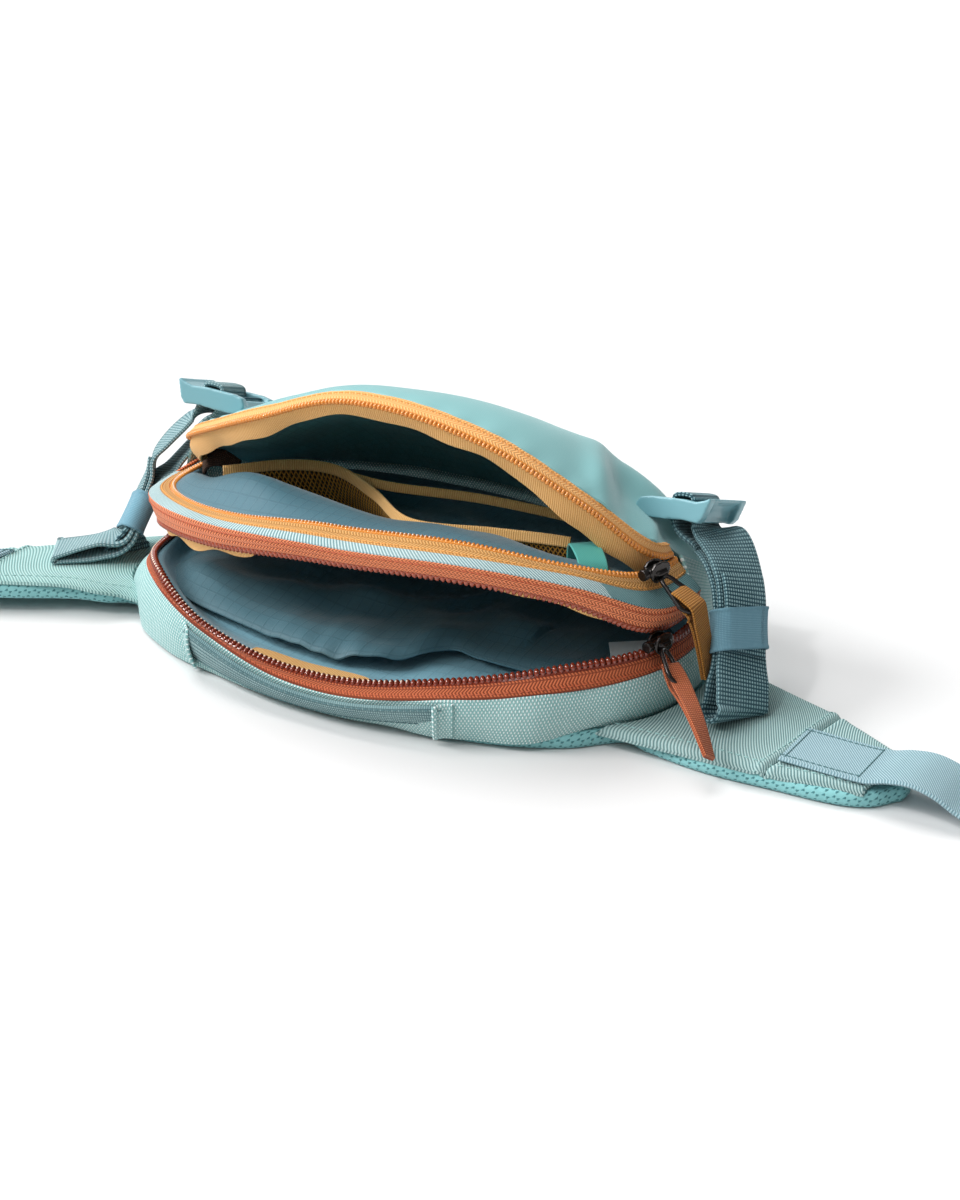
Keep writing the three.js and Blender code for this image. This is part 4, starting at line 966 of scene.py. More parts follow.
def handle_hems(wall, heading):
    """Folds of the wall that lie over the handle's two ends."""
    hems = []
    s = np.linspace(0, 1, HEM["rows"])
    for end, way in ((HANDLE["from"], -1), (HANDLE["to"], 1)):
        reach = HEM["over"] + (HEM["wide"] - HEM["over"]) * s
        at = np.interp(end + way * reach, heading, np.arange(len(wall)))
        rows = np.clip(np.round(at).astype(int), 0, len(wall) - 1)
        stand = HEM["high"] + (HEM["low"] - HEM["high"]) * np.clip(s * HEM["slope"], 0, 1)
        flap = wall[rows, 1:-1] + outward(heading[rows])[:, None] * stand[:, None, None]
        hems.append(cloth_mesh(flap[::way], HEM["thick"]))
    points, faces, maps = join(hems)
    place(mesh_object("handle_hems", points, faces, "wall", maps), "wall_weave")


def grab_handle():
    top = EDGES["wall_top"]
    high = {end: top[end] + HANDLE["stand"] for end in ("left", "right", "near")}
    high.update(out=top["out"], z=[z - HANDLE["drop"] for z in top["z"]])
    grid = strip_grid(HANDLE["low"], high, HANDLE["swell"], HANDLE["rows"], HANDLE["lines"],
                      start=HANDLE["from"], end=HANDLE["to"])
    cloth("grab_handle_web", grid, WEBBING, "handle", "strap_webbing", "grab_handle")
    rows = seam_rows(grid, WEBBING, (1, -2), HANDLE["pitch"])
    stitches("handle_stitches", rows, "dark_thread", "strap_webbing")


def seam_bulge(heading):
    """How far the far seam is pushed out at a heading."""
    push = SEAM_BULGE["out"] * bump_at(heading, SEAM_BULGE["heading"], SEAM_BULGE["spread"])
    return outward(heading) * push[..., None]


def bottom_gusset():
    first = GUSSET_START - GUSSET["overlap"]
    heading, k = steps("gusset", first, 360 - first)
    fx, fy = plan(heading, FAR_HALF_WIDTH, FAR_DEPTH)
    sx, sy = plan(heading, PANEL_HALF_WIDTH + GUSSET["clear"], PANEL_DEPTH + GUSSET["clear"])
    swell = 1 + GUSSET["swell"] * k * (1 - k)
    short = PANEL_CORNER - np.minimum(heading, 360 - heading)
    corner = np.maximum(0, short / (PANEL_CORNER - GUSSET_START))
    top = PANEL_SEAM_Z - GUSSET["below"] + CORNER_RISE * corner
    x = (fx[:, None] + (sx - fx)[:, None] * k) * swell
    y = PLAN_Y + (fy[:, None] + (sy - fy)[:, None] * k - PLAN_Y) * swell
    grid = np.stack([x, y, FOOT_Z + (top[:, None] - FOOT_Z) * k], -1)
    grid = rumpled("gusset", grid + seam_bulge(heading)[:, None] * (k ** GUSSET["growth"])[:, None])
    cloth("bottom_gusset_weave", grid, WALL, "wall", "wall_weave", "bottom_gusset", held="stretched",
          rests_on=["back_pad_foam"])
    stitches("gusset_stitches", seam_rows(grid, WALL, (1, -2)), "thread", "wall_weave")


def zip_tape(name, low, high, look, slot, node, coil_high, thread):
    """Tape between a seam edge and its coil edge, with a row of stitches by the seam."""
    inset = {"inset_high" if coil_high else "inset_low": COIL_INSET}
    start = ZIP_START.get(low, -ZIP_END)
    swell = TAPE_SHAPE["swell"]
    if low == "rust_upper":
        heading = np.linspace(start, ZIP_END, TAPE_SHAPE["along"])
        swell = swell + TAPE_LOBE["out"] * bump_at(heading, start, TAPE_LOBE["spread"])
    grid = strip_grid(EDGES[low], EDGES[high], swell, start=start, **inset)
    cloth(name, grid, TAPE, look, slot, node)
    rows = seam_rows(grid, TAPE, [2 if coil_high else 6], TAPE_SHAPE["pitch"])
    stitches(name + "_stitches", rows, thread, slot)


def zip_teeth(name, edge, tape_edge, look, slot, node):
    """Row of coil teeth along a lip, on a thin core."""
    tooth = TOOTH[edge.split("_")[0]]
    heading = np.linspace(ZIP_START.get(edge, -ZIP_END), ZIP_END, TOOTH["line"])
    line = edge_line(EDGES[edge], heading)
    inward = unit(edge_line(EDGES[tape_edge], heading) - line)
    spots, run = resample(line, tooth["pitch"])
    across = between(run, run_along(line), inward)
    along = np.gradient(spots, axis=0)
    flat = np.cross(along, across)
    middle = spots + np.array([0, 0, TOOTH["proud"] if edge == "rust_lower" else 0])
    teeth = scatter(ball(tooth["half"], *TOOTH["mesh"]), middle, along, flat)
    # Pale beads facing up, kept to the lit left part: painted highlights of the teeth's glints, drawn as
    # thread
    if edge in COIL_THREAD_GLINT:
        face = unit(flat)
        out_and_up = unit(spots * [1, 1, 0] - [0, PLAN_Y, 0]) + [0, 0, COIL_THREAD_GLINT["up"]]
        face = face * np.sign(np.sum(face * out_and_up, -1))[:, None]
        shown = spots[:, 0] < COIL_THREAD_GLINT["end"]
        places = middle + face * tooth["half"][2] * COIL_THREAD_GLINT["sunk"]
        beads = scatter(ball(COIL_THREAD_GLINT[edge], *STITCH["mesh"]), places[shown], along[shown], face[shown])
        stitches(name + "_thread", [beads], "coil_thread", slot)
    core_line = spots + unit(across) * TOOTH["core_in"]
    core = sweep(core_line, side_frames(core_line, across), circle(TOOTH["core"], 6))
    place(mesh_object(name, *join([teeth, core])[:2], look), slot, node)


def mid_strip():
    low, high = EDGES["rust_top"], EDGES["mustard_base"]
    grid = strip_grid(low, high, STRIP["swell"], start=ZIP_START["mid_strip"], end=STRIP["join"])
    cloth("mid_strip_twill", grid, WALL, "twill_strip", "twill", "mid_strip")
    # The right end takes the same twill painted darker: painted shade
    grid = strip_grid(low, high, STRIP["swell"], STRIP["rows"], start=STRIP["join"])
    cloth("mid_strip_end", grid, WALL, "strip_end_shaded", "twill")


def zips():
    for zip_name, (top, _, thread) in ZIPS.items():
        tape = zip_name + "_tape"
        # The lower tape takes the zip's darker tape look: painted shade
        zip_tape(tape + "_low", zip_name + "_base", zip_name + "_lower", zip_name + "_low", tape,
                 tape + "_lower", True, thread)
        zip_tape(tape + "_high", zip_name + "_upper", top, zip_name, tape, tape + "_upper", False, thread)
    for zip_name, (top, high_look, _) in ZIPS.items():
        coil, teeth = zip_name + "_coil", zip_name + "_teeth"
        zip_teeth(coil + "_low", zip_name + "_lower", zip_name + "_base", coil, coil, teeth + "_lower")
        # The rust zip's upper teeth take the lighter copy of its coil: painted light
        zip_teeth(coil + "_high", zip_name + "_upper", top, high_look, coil, teeth + "_upper")


# Front panel and inner cloth

# Creases by the panel's right end: place, height and width of each, their lean and how they fade in
CREASES = {"rows": [(0.80, 2.6, 0.024), (0.86, -2.6, 0.034), (0.93, 1.4, 0.02)], "lean": 0.12,
           "rate": 1.3, "start": 0.1}
# Pucker of the panel along its rim: height, waves across and reach
PUCKER = {"high": 0.3, "waves": 150, "reach": 0.05}
# Lining under the panel: its part of the panel each way, how far below, and its least distance
UNDER = {"u": (0.03, 0.97), "v": (0.05, 0.985), "below": 3.4, "least": 1.0}
# Drop of a hung lining's edge below its lip
LIP_DROP = 0.8
# Floor of the main compartment: gap to the lip, gaps to the far wall, and how it falls and rises
FLOOR = {"end": 92, "lip_gap": 1.6, "wall_gap": (4, 5), "narrow": 0.02, "spacing": 1.25, "ease": 8.0,
         "above": 4.0, "lift": 0.9, "calm": (6, 8), "rise": 22.0, "rise_from": 0.84}
# Folds of the slack inner pocket: height, lean, x they lean from, place, width, and x where they end
FOLDS = [(3.4, -0.35, -60, 24, 9, 200), (2.6, 0.3, 0, 40, 8, 60)]
# Facings behind the main zip's lips: edge, first and last heading, drop, unevenness, its start, fall
LIP_FACINGS = [("rust_lower", -14, 8, 8.0, 0.08, 0.0, 0.06), ("rust_upper", -62, -16, 4.8, 0.3, 1.0, 1.0),
               ("rust_upper", 34, 64, 2.2, 0.3, 2.0, 1.0)]
LIP_FACING = {"thick": 0.8, "gap": 1.8, "below": 0.4, "deep": 1.4, "wave": 3.1, "taper": 0.4,
              "part": (0.04, 0.96)}
# Narrow tapes: the way their width lies, width and thickness
NARROW = {"binding": ((0, 0.35, 1), 4.4, 1.6), "band": ((0, 0.5, 1), 3.8, 1.4),
          "stub": ((0.2, 0.3, 1), 7.0, 1.6)}
# Paths of the pocket's back band and the front zip's brown end, the key ribbon and the label
BACK_BAND = [(-34, -16, 61), (-14, -14, 60), (22, -6, 60), (62, -4, 60), (86, -8, 60)]
ZIP_STUB = [(-101, -19, 51), (-97, -20, 56), (-90, -21, 58), (-82, -22, 56)]
RIBBON = {"path": [(79, -31, 59), (81, -34, 66), (86, -40, 68.5), (92, -46, 66.5), (95, -49, 60)],
          "half": 5, "thick": 1.0, "across": (0.75, 0.66, 0)}
LABEL = {"corners": [[(89, -26, 24), (104, -22, 27)], [(97, -38, 20), (109, -34, 23)]], "arch": 1.5,
         "thick": 0.6, "lines": 12}


def panel_grid(u, v, below):
    """Front panel: sections from the zip rim over the crown to the far seam."""
    rim = edge_line(EDGES["panel_rim"], -ZIP_END + 2 * ZIP_END * u)
    fx, fy = plan(-PANEL_CORNER - u * (360 - 2 * PANEL_CORNER), PANEL_HALF_WIDTH, PANEL_DEPTH)
    fall = 1 - v ** through(CROWN["u"], CROWN["power"], u)
    x = rim[..., 0] + (fx - rim[..., 0]) * v
    y = rim[..., 1] + (fy - rim[..., 1]) * v
    grid = np.stack([x, y, PANEL_SEAM_Z + (rim[..., 2] - PANEL_SEAM_Z) * fall - below], -1)
    zip_heading, seam_heading = ZIP_END * (2 * u - 1), 360 - PANEL_CORNER - u * (360 - 2 * PANEL_CORNER)
    push = seam_bulge(zip_heading + (seam_heading - zip_heading) * v)
    grid = grid + push * np.clip((u - SEAM_BULGE["from"]) / SEAM_BULGE["blend"], 0, 1)[..., None]
    x, y = PANEL_DENT["at"]
    near = np.hypot((grid[..., 0] - x) / PANEL_DENT["wide"], (grid[..., 1] - y) / PANEL_DENT["deep"])
    grid[..., 2] -= PANEL_DENT["drop"] * np.exp(-near ** 2)
    return grid


def front_panel():
    u, v = np.meshgrid(*steps("panel"), indexing="ij")
    grid = panel_grid(u, v, 0)
    slack = np.sin(math.pi * v) * np.sin(math.pi * u)
    across = u + CREASES["lean"] * v
    crease = sum(high * bump_at(across, at, wide) for at, high, wide in CREASES["rows"])
    fade = np.sin(math.pi * np.minimum(1, v * CREASES["rate"] + CREASES["start"]))
    pucker = PUCKER["high"] * np.sin(u * PUCKER["waves"]) * np.exp(-v / PUCKER["reach"])
    wave = uneven("panel", grid[..., 0], grid[..., 1]) * slack + crease * fade
    grid = grid + grid_normals(grid) * (wave + pucker)[..., None]
    cloth("front_panel_weave", grid, WALL, "front", "front_weave", "front_panel", held="stretched",
          rests_on=["mustard_tape_high"])
    stitches("panel_stitches", seam_rows(grid, WALL, [-3], part=slice(3, -3)), "thread", "front_weave")


def front_lining():
    along, across = LINES["lining"]
    u, v = np.meshgrid(np.linspace(*UNDER["u"], along), np.linspace(*UNDER["v"], across), indexing="ij")
    grid = panel_grid(u, v, UNDER["below"])
    wave = uneven("lining", grid[..., 0], grid[..., 1]) * np.sin(math.pi * v) * np.sin(math.pi * u)
    grid = grid - grid_normals(grid) * (UNDER["least"] + np.abs(wave))[..., None]
    cloth("front_lining_ripstop", grid, LINING, "ripstop", "lining", "front_lining", held="hung",
          rests_on=["front_panel_weave"])


def mustard_facing():
    heading, k = steps("facing", *FACING["ends"])
    top = edge_line(EDGES["mustard_upper"], heading)
    drop = through(FACING["heading"], FACING["drop"], heading)
    drop = drop + sum(high * np.sin(heading / span) for high, span in FACING["hem"])
    high, at, spread = FACING["puff"]
    puff = high * bump_at(heading, at, spread)[:, None] * np.sin(math.pi * k)[None]
    high, span = FACING["flutter"]
    flutter = high * np.sin(heading / span)[:, None] * k[None]
    reach = FACING["gap"] + FACING["flare"] * k[None] ** FACING["power"] + flutter - puff
    grid = top[:, None] - outward(heading)[:, None] * reach[..., None]
    grid[..., 2] -= FACING["below"] + drop[:, None] * k[None]
    cloth("mustard_facing_cloth", grid, LINING, "facing", "mustard_cloth", "mustard_facing",
          held="hung", rests_on=["mustard_tape_high"])


def hung_plan(edge, heading, k, lip_gap, half_width, depth, narrow):
    """Plan of a cloth hung from a lip, back to the far wall: the lip's line, and x and y of the grid."""
    lip = edge_line(EDGES[edge], heading) - outward(heading) * lip_gap - np.array([0, 0, LIP_DROP])
    far_y = plan_y(lip[:, 0], half_width, depth, 1)
    y = lip[:, 1][:, None] + (far_y - lip[:, 1])[:, None] * k
    return lip, np.repeat(lip[:, :1], len(k), 1) * (1 - narrow * k), y


def divider_z(x, y):
    """Height of the cloth between the compartments."""
    near, far = (plan_y(x, DIVIDER["half"], DIVIDER[end], side) for end, side in (("near", -1), ("far", 1)))
    sine = np.clip(np.abs(x / DIVIDER["half"]) ** (PLAN_POWER / 2), 0, 1)
    near_z = through(STATIONS, DIVIDER["near_z"], np.sign(x) * np.degrees(np.arcsin(sine)))
    k = np.clip((y - near) / np.maximum(1, far - near), 0, 1)
    return near_z + (DIVIDER["far_z"] - near_z) * k - DIVIDER["sag"] * np.sin(math.pi * k)


def divider():
    """Cloth between the compartments, hung from the front zip's lower lip."""
    heading, k = steps("divider", -DIVIDER["end"], DIVIDER["end"])
    lip, x, y = hung_plan("mustard_lower", heading, k, DIVIDER["lip_gap"], *DIVIDER["edge"],
                          DIVIDER["narrow"])
    floor = divider_z(x, y) + DIVIDER["above"]
    ease = np.exp(-(k * DIVIDER["ease"]) ** 2)[None]
    z = floor + (lip[:, 2][:, None] - floor) * ease
    for high, at, deep, middle, spread in DIVIDER["bulges"]:
        z = z + high * bump_at(k, at, deep)[None] * bump_at(heading, middle, spread)[:, None]
    z = z + uneven("divider", x, y) * np.sin(math.pi * k)[None]
    # Its look is the lining painted darker: painted shade
    cloth("divider_cloth", np.stack([x, y, z], -1), LINING, "divider", "lining", "divider",
          held="hung", rests_on=["mustard_tape_low"])


def main_lining():
    """Floor of the main compartment, hung from the main zip's lower lip."""
    heading, k = steps("floor", -FLOOR["end"], FLOOR["end"])
    k = k ** FLOOR["spacing"]
    gap_x, gap_y = FLOOR["wall_gap"]
    lip, x, y = hung_plan("rust_lower", heading, k, FLOOR["lip_gap"], FAR_HALF_WIDTH - gap_x,
                          FAR_DEPTH - gap_y, FLOOR["narrow"])
    ease = np.exp(-((y - lip[:, 1][:, None]) / FLOOR["ease"]) ** 2)
    calm = np.minimum(1, k * FLOOR["calm"][0])[None] * np.minimum(1, (1 - k) * FLOOR["calm"][1])[None]
    rise = FLOOR["rise"] * np.maximum(0, (k - FLOOR["rise_from"]) / (1 - FLOOR["rise_from"])) ** 2
    z = PAD + FLOOR["above"] + (uneven("floor", x, y) + FLOOR["lift"]) * calm + rise[None]
    z = z + (lip[:, 2][:, None] - z) * ease
    # Its look is the lining painted lighter: painted light
    cloth("main_lining_cloth", np.stack([x, y, z], -1), LINING, "lining", "lining", "main_lining",
          held="laid", rests_on=["back_pad_foam"])


def lining_sleeve():
    """Slack inner pocket on the main floor, with a free near edge."""
    x, k = steps("sleeve", SLEEVE["x"][0], SLEEVE["x"][-1])
    edge, stand = (through(SLEEVE["x"], SLEEVE[row], x)[:, None] for row in ("y", "stand"))
    gap_x, gap_y = SLEEVE["wall_gap"]
    far = plan_y(x, FAR_HALF_WIDTH - gap_x, FAR_DEPTH - gap_y, 1)[:, None]
    k = k ** SLEEVE["spacing"]
    y = edge + (far - edge) * k
    x = np.repeat(x[:, None], len(k), 1)
    past = y - edge
    ends = np.clip((SLEEVE["x"][-1] - np.abs(x)) / SLEEVE["ease"], 0, 1)
    high, start, fade = SLEEVE["fullness"]
    full = high * (1 - np.exp(-past / start)) * np.exp(-past / fade) * ends
    slope = sum(high * bump_at(past + lean * (x - start), at, wide) * (x < end)
                for high, lean, start, at, wide, end in FOLDS)
    at, spread, fade = SLEEVE["pleats"]
    pleat = uneven("pleat", x, past) * bump_at(x, at, spread) * np.exp(-past / fade)
    folds = (slope + uneven("sleeve", x, y)) * np.minimum(1, past / SLEEVE["calm"]) * ends + pleat
    folds = folds * np.clip((far - y) / SLEEVE["ease"], 0, 1)
    z = PAD + SLEEVE["above"] + stand * np.exp(-past / SLEEVE["settle"]) + full + folds
    # Its look is the lining painted darker: painted shade of the deep interior
    cloth("lining_sleeve_cloth", np.stack([x, y, z], -1), LINING, "sleeve", "lining", held="laid",
          rests_on=["main_lining_cloth"])


def lip_facings():
    """Mustard facings that peek out behind the main zip's two lips."""
    parts = []
    for edge, start, end, drop, unevenness, phase, fall in LIP_FACINGS:
        heading, k = steps("lip_facing", start, end)
        taper = np.sin(math.pi * np.linspace(*LIP_FACING["part"], len(heading))) ** LIP_FACING["taper"]
        hem = drop * taper * (1 + unevenness * np.sin(heading / LIP_FACING["wave"] + phase))
        deep = hem if edge == "rust_lower" else LIP_FACING["deep"] * taper
        reach = LIP_FACING["gap"] + k * deep[:, None]
        grid = edge_line(EDGES[edge], heading)[:, None] - outward(heading)[:, None] * reach[..., None]
        grid[..., 2] -= LIP_FACING["below"] + hem[:, None] * k * fall
        parts.append(cloth_mesh(grid, LIP_FACING["thick"]))
    points, faces, maps = join(parts)
    place(mesh_object("lip_facing_cloth", points, faces, "facing", maps), "mustard_cloth")


def mesh_pocket():
    x, k = steps("net", POCKET["x"][0], POCKET["x"][-1])
    y = through(POCKET["x"], POCKET["y"], x)
    foot = (divider_z(x, y + POCKET["bag"]) + POCKET["above"])[:, None]
    net_y = y[:, None] + POCKET["bag"] * (1 - k) ** POCKET["power"]
    net_z = foot + (POCKET["top"] - POCKET["tucked"] - foot) * k
    grid = np.stack([x[:, None] + 0 * k, net_y, net_z], -1)
    grid[..., 1] += uneven("net", grid[..., 0], grid[..., 2]) * np.sin(math.pi * k)[None]
    cloth("mesh_pocket_net", grid, LINING, "net", "mustard_mesh", "mesh_pocket", held="hung",
          rests_on=["divider_cloth"])
    path = np.stack([x, y, POCKET["top"] + POCKET["wave"] * np.sin(x / POCKET["span"])], -1)
    webbing("pocket_binding_tape", path, *NARROW["binding"], "facing", "mustard_cloth", "pocket_binding",
            selvedge=BINDING)
    webbing("pocket_back_band", smooth_path(BACK_BAND, 16), *NARROW["band"], "facing", "mustard_cloth",
            selvedge=BINDING)
    webbing("zip_end_stub", smooth_path(ZIP_STUB, 10), *NARROW["stub"], "brown", "mustard_tape",
            selvedge=BINDING)


def small_tabs():
    line = smooth_path(RIBBON["path"], 12)
    half = np.linspace(-RIBBON["half"], RIBBON["half"], 9)
    grid = line[:, None] + half[None, :, None] * unit(np.array(RIBBON["across"]))
    cloth("key_ribbon_web", grid, RIBBON["thick"], "ribbon", "ribbon", "key_ribbon")
    (a, b), (c, d) = np.array(LABEL["corners"], float)
    part = np.linspace(0, 1, LABEL["lines"])
    s, t = np.meshgrid(part, part, indexing="ij")
    near, far = a + (b - a) * t[..., None], c + (d - c) * t[..., None]
    grid = near + (far - near) * s[..., None]
    grid[..., 2] += LABEL["arch"] * np.sin(math.pi * s)
    cloth("care_label_cloth", grid, LABEL["thick"], "label", "label", "care_label")


# Locks, straps and pulls

# Ladder lock in its own frame: outline of its side rails and of its lip in x and z, half widths in y, and
# bars as x, z and radius
RAIL = [(-14.5, -2.2), (-15, 0.4), (-13.4, 3.2), (-9, 4.0), (4, 4.0), (9, 3.4), (12.6, 4.3), (15, 5.4),
        (15.4, 4.6), (12.8, -2.4), (10.8, -4.4), (5, -3.6), (-3, -4.0), (-11, -3.8)]
LIP = [(6.6, 3.0), (9, 3.4), (12.6, 4.3), (14.8, 5.4), (15.2, 4.6), (12.4, 2.6), (10.4, 0.2), (9.8, -2.2),
       (10.6, -4.2), (9, -3.8), (6.6, 0)]
LOCK_HALF = {"outer": 17, "inner": 12.4, "lip": 13.4, "bar": 15}
BARS = [(-12.6, 0.2, 2.0), (-5.7, -0.6, 1.7), (2.1, -0.2, 1.9)]
BAR_SIDES = 12
# Rounding of a selvedge and steps across the flat, for webbing and for narrow binding
SELVEDGE = (0.45, 14)
BINDING = (0.5, 8)
# Sewn tail of a strap: how much narrower it is, its thickness, and the steps of its path left out at the top
TAIL = {"narrower": 3.5, "thick": 1.7, "hidden": 6}
# Turn of a strap at its foot: first and last angle with steps, and how its lean passes from layer to layer
STRAP_FOOT = {"turn": (25, 155, 6), "blend": (0.1, 0.9)}
# Slider plate's outline along the zip and up. Plates: offset outward, size and thickness
PLATE = [(-5.2, -2.2), (-3.4, -4.2), (0.6, -4.6), (4.4, -3.4), (5.4, 0), (4.4, 3.4), (0.6, 4.6), (-3.4, 4.2),
         (-5.2, 2.2)]
PLATES = [(-1.9, 0.82, 1.2), (1.9, 0.86, 1.3)]
# Slider's rods, each from one end to the other: distance along the zip and outward of both, and radius. Their
# mesh and a direction that none of them has
RODS = [(0, -2, 0, 2, 1.9), (-7.6, 0, 5.0, 0, 1.75), (-7.6, 0, -5.4, 0, 2.2), (3.2, 0, 5.4, 0, 2.15),
        (-2.6, 2, -1.6, 3.4, 0.9), (-2.2, 3.3, 2.2, 3.3, 0.85), (2.6, 2, 1.6, 3.4, 0.9)]
ROD = {"steps": 6, "sides": 14, "hint": (0.3, 0.2, 0.9)}
# Voxel size and rounds of smoothing of the moulded pieces
LOCK_MOULD = (0.5, 5)
SLIDER_MOULD = (0.28, 4)
# Clasp halves: distance within which corners are joined, and width and segments of the eased edges
CLIP = {"weld": 0.01, "ease": 1.2, "segments": 3}


def turn(axis, deg):
    """Rotation about the axis of that number."""
    c, s = math.cos(math.radians(deg)), math.sin(math.radians(deg))
    a, b = (axis + 1) % 3, (axis + 2) % 3
    matrix = np.eye(3)
    matrix[a, a] = matrix[b, b] = c
    matrix[a, b], matrix[b, a] = -s, s
    return matrix


def level_way(deg):
    """Level direction at an angle from x towards y."""
    angle = np.radians(np.asarray(deg, float))
    return np.stack([np.cos(angle), np.sin(angle), 0 * angle], -1)


def lock_place(side, points):
    """From the lock's frame to the pack's: x outward along the strap, y across, z out of the pack."""
    matrix = turn(2, LOCK["yaw"][side]) @ turn(0, LOCK["roll"]) @ turn(1, -LOCK["pitch"])
    return (np.asarray(points, float) @ matrix.T + np.array(LOCK["at"][side])) * np.array([side, 1, 1])


def lock_across(side):
    start, end = lock_place(side, [(0, 0, 0), (0, 1, 0)])
    return end - start


def lock_route(side, route):
    return lock_place(side, [(x, 0, z) for x, z in route])


def prism(profile, start, end):
    """Closed solid of an x-z outline between two y."""
    profile = np.asarray(profile, float)
    n = len(profile)
    points = np.vstack([np.insert(profile, 1, y, axis=1) for y in (start, end)])
    faces = [[i, (i + 1) % n, n + (i + 1) % n, n + i] for i in range(n)]
    faces += [list(range(n))[::-1], list(range(n, 2 * n))]
    return points, faces, np.zeros((2 * n, 2))


def moulded(name, points, faces, look, voxel, relax):
    """One smooth moulded body from overlapping solids."""
    body = mesh_object(name + "_raw", points, faces, look)
    remesh = body.modifiers.new("remesh", "REMESH")
    remesh.mode = "VOXEL"
    remesh.voxel_size = voxel * MM
    smooth = body.modifiers.new("relax", "SMOOTH")
    smooth.iterations = relax
    mesh = bpy.data.meshes.new_from_object(body.evaluated_get(bpy.context.evaluated_depsgraph_get()))
    mesh.name = name
    mesh.shade_smooth()
    bpy.data.objects.remove(body)
    return add_object(name, mesh)


def lock(side, hand):
    outer, inner, lip, bar = LOCK_HALF.values()
    parts = [prism(RAIL, -outer, -inner), prism(RAIL, inner, outer), prism(LIP, -lip, lip)]
    for x, z, radius in BARS:
        path = np.array([(x, y, z) for y in np.linspace(-bar, bar, BAR_SIDES)])
        parts.append(sweep(path, side_frames(path, (1, 0, 0)), circle(radius, BAR_SIDES)))
    points, faces, _ = join(parts)
    piece = moulded("lock_" + hand + "_body", lock_place(side, points), faces, "plastic", *LOCK_MOULD)
    place(piece, "plastic", "lock_" + hand)


def webbing(name, path, across, width, thick, look, slot, *nodes, body="root", selvedge=SELVEDGE):
    """Flat webbing along a path, its width nearest to across."""
    points, faces, maps = sweep(path, side_frames(path, across), flat_section(width, thick, *selvedge))
    return place(mesh_object(name, points, faces, look, maps), slot, *nodes, body=body)


def lock_tab(side, hand):
    path = smooth_path(lock_route(side, [LOCK_TAB_END[side]] + LOCK_TAB_ROUTE))
    webbing("lock_tab_web_" + hand, path, lock_across(side), BELT_WIDTH, WEBBING, "webbing",
            "strap_webbing", "lock_tab_" + hand)


def strap_line(side):
    """Strap loop: up through the lock over its middle bar, both layers down to the keeper and the foot."""
    rows = np.array(STRAP_ROWS[side], float)
    middle, split = rows[:, :3], rows[:, 4]
    width = level_way(rows[:, 3])
    if side > 0:
        width[:, 2] = STRAP_DIP
    last = len(rows) - 1
    order = np.arange(len(rows))
    down = unit(middle[np.minimum(order + 1, last)] - middle[np.maximum(order - 1, 0)])
    face = unit(np.cross(down, width)) * side
    inner, outer = middle - face * split[:, None] / 2, middle + face * split[:, None] / 2
    bar = lock_route(side, BAR_ROUTE)
    around = np.radians(np.linspace(*STRAP_FOOT["turn"]))[:, None]
    foot = middle[last] + split[last] / 2 * (np.cos(around) * face[last] + np.sin(around) * down[last])
    path = np.vstack([inner[::-1], bar, outer, foot])
    under, over = width.copy(), width.copy()
    if side < 0:
        under[-2:, 2], over[-2:, 2] = LOOP_LEAN["under"], LOOP_LEAN["over"]
    turning = over[last] + (under[last] - over[last]) * np.linspace(*STRAP_FOOT["blend"], len(foot))[:, None]
    across = np.vstack([under[::-1], np.tile(lock_across(side), (len(bar), 1)), over, turning])
    both = smooth_path(np.hstack([path, across]))
    stand = np.array(TAIL_STAND)[:, None]
    tail = smooth_path(np.hstack([outer[1:4] + face[1:4] * stand, width[1:4]]), 16)[TAIL["hidden"]:]
    return both[:, :3], unit(both[:, 3:]), tail[:, :3], unit(tail[:, 3:])


def side_strap(side, hand):
    path, across, tail, tail_across = strap_line(side)
    # The left loop takes the lighter copy of the webbing: painted light
    look = "webbing" if side > 0 else "webbing_left_lit"
    webbing("strap_end_web_" + hand, tail, tail_across, STRAP_WIDTH - TAIL["narrower"], TAIL["thick"], look,
            "strap_webbing")
    if side < 0:
        root = np.array(STRAP_ROOT, float)
        line = smooth_path(np.hstack([root[:, :3], level_way(root[:, 3])]), 10)
        webbing("strap_root_web_left", line[:, :3], unit(line[:, 3:]), STRAP_WIDTH, WEBBING, "webbing",
                "strap_webbing")
    webbing("side_strap_web_" + hand, np.vstack([path, path[:1]]), np.vstack([across, across[:1]]),
            STRAP_WIDTH, WEBBING, look, "strap_webbing", "side_strap_" + hand)


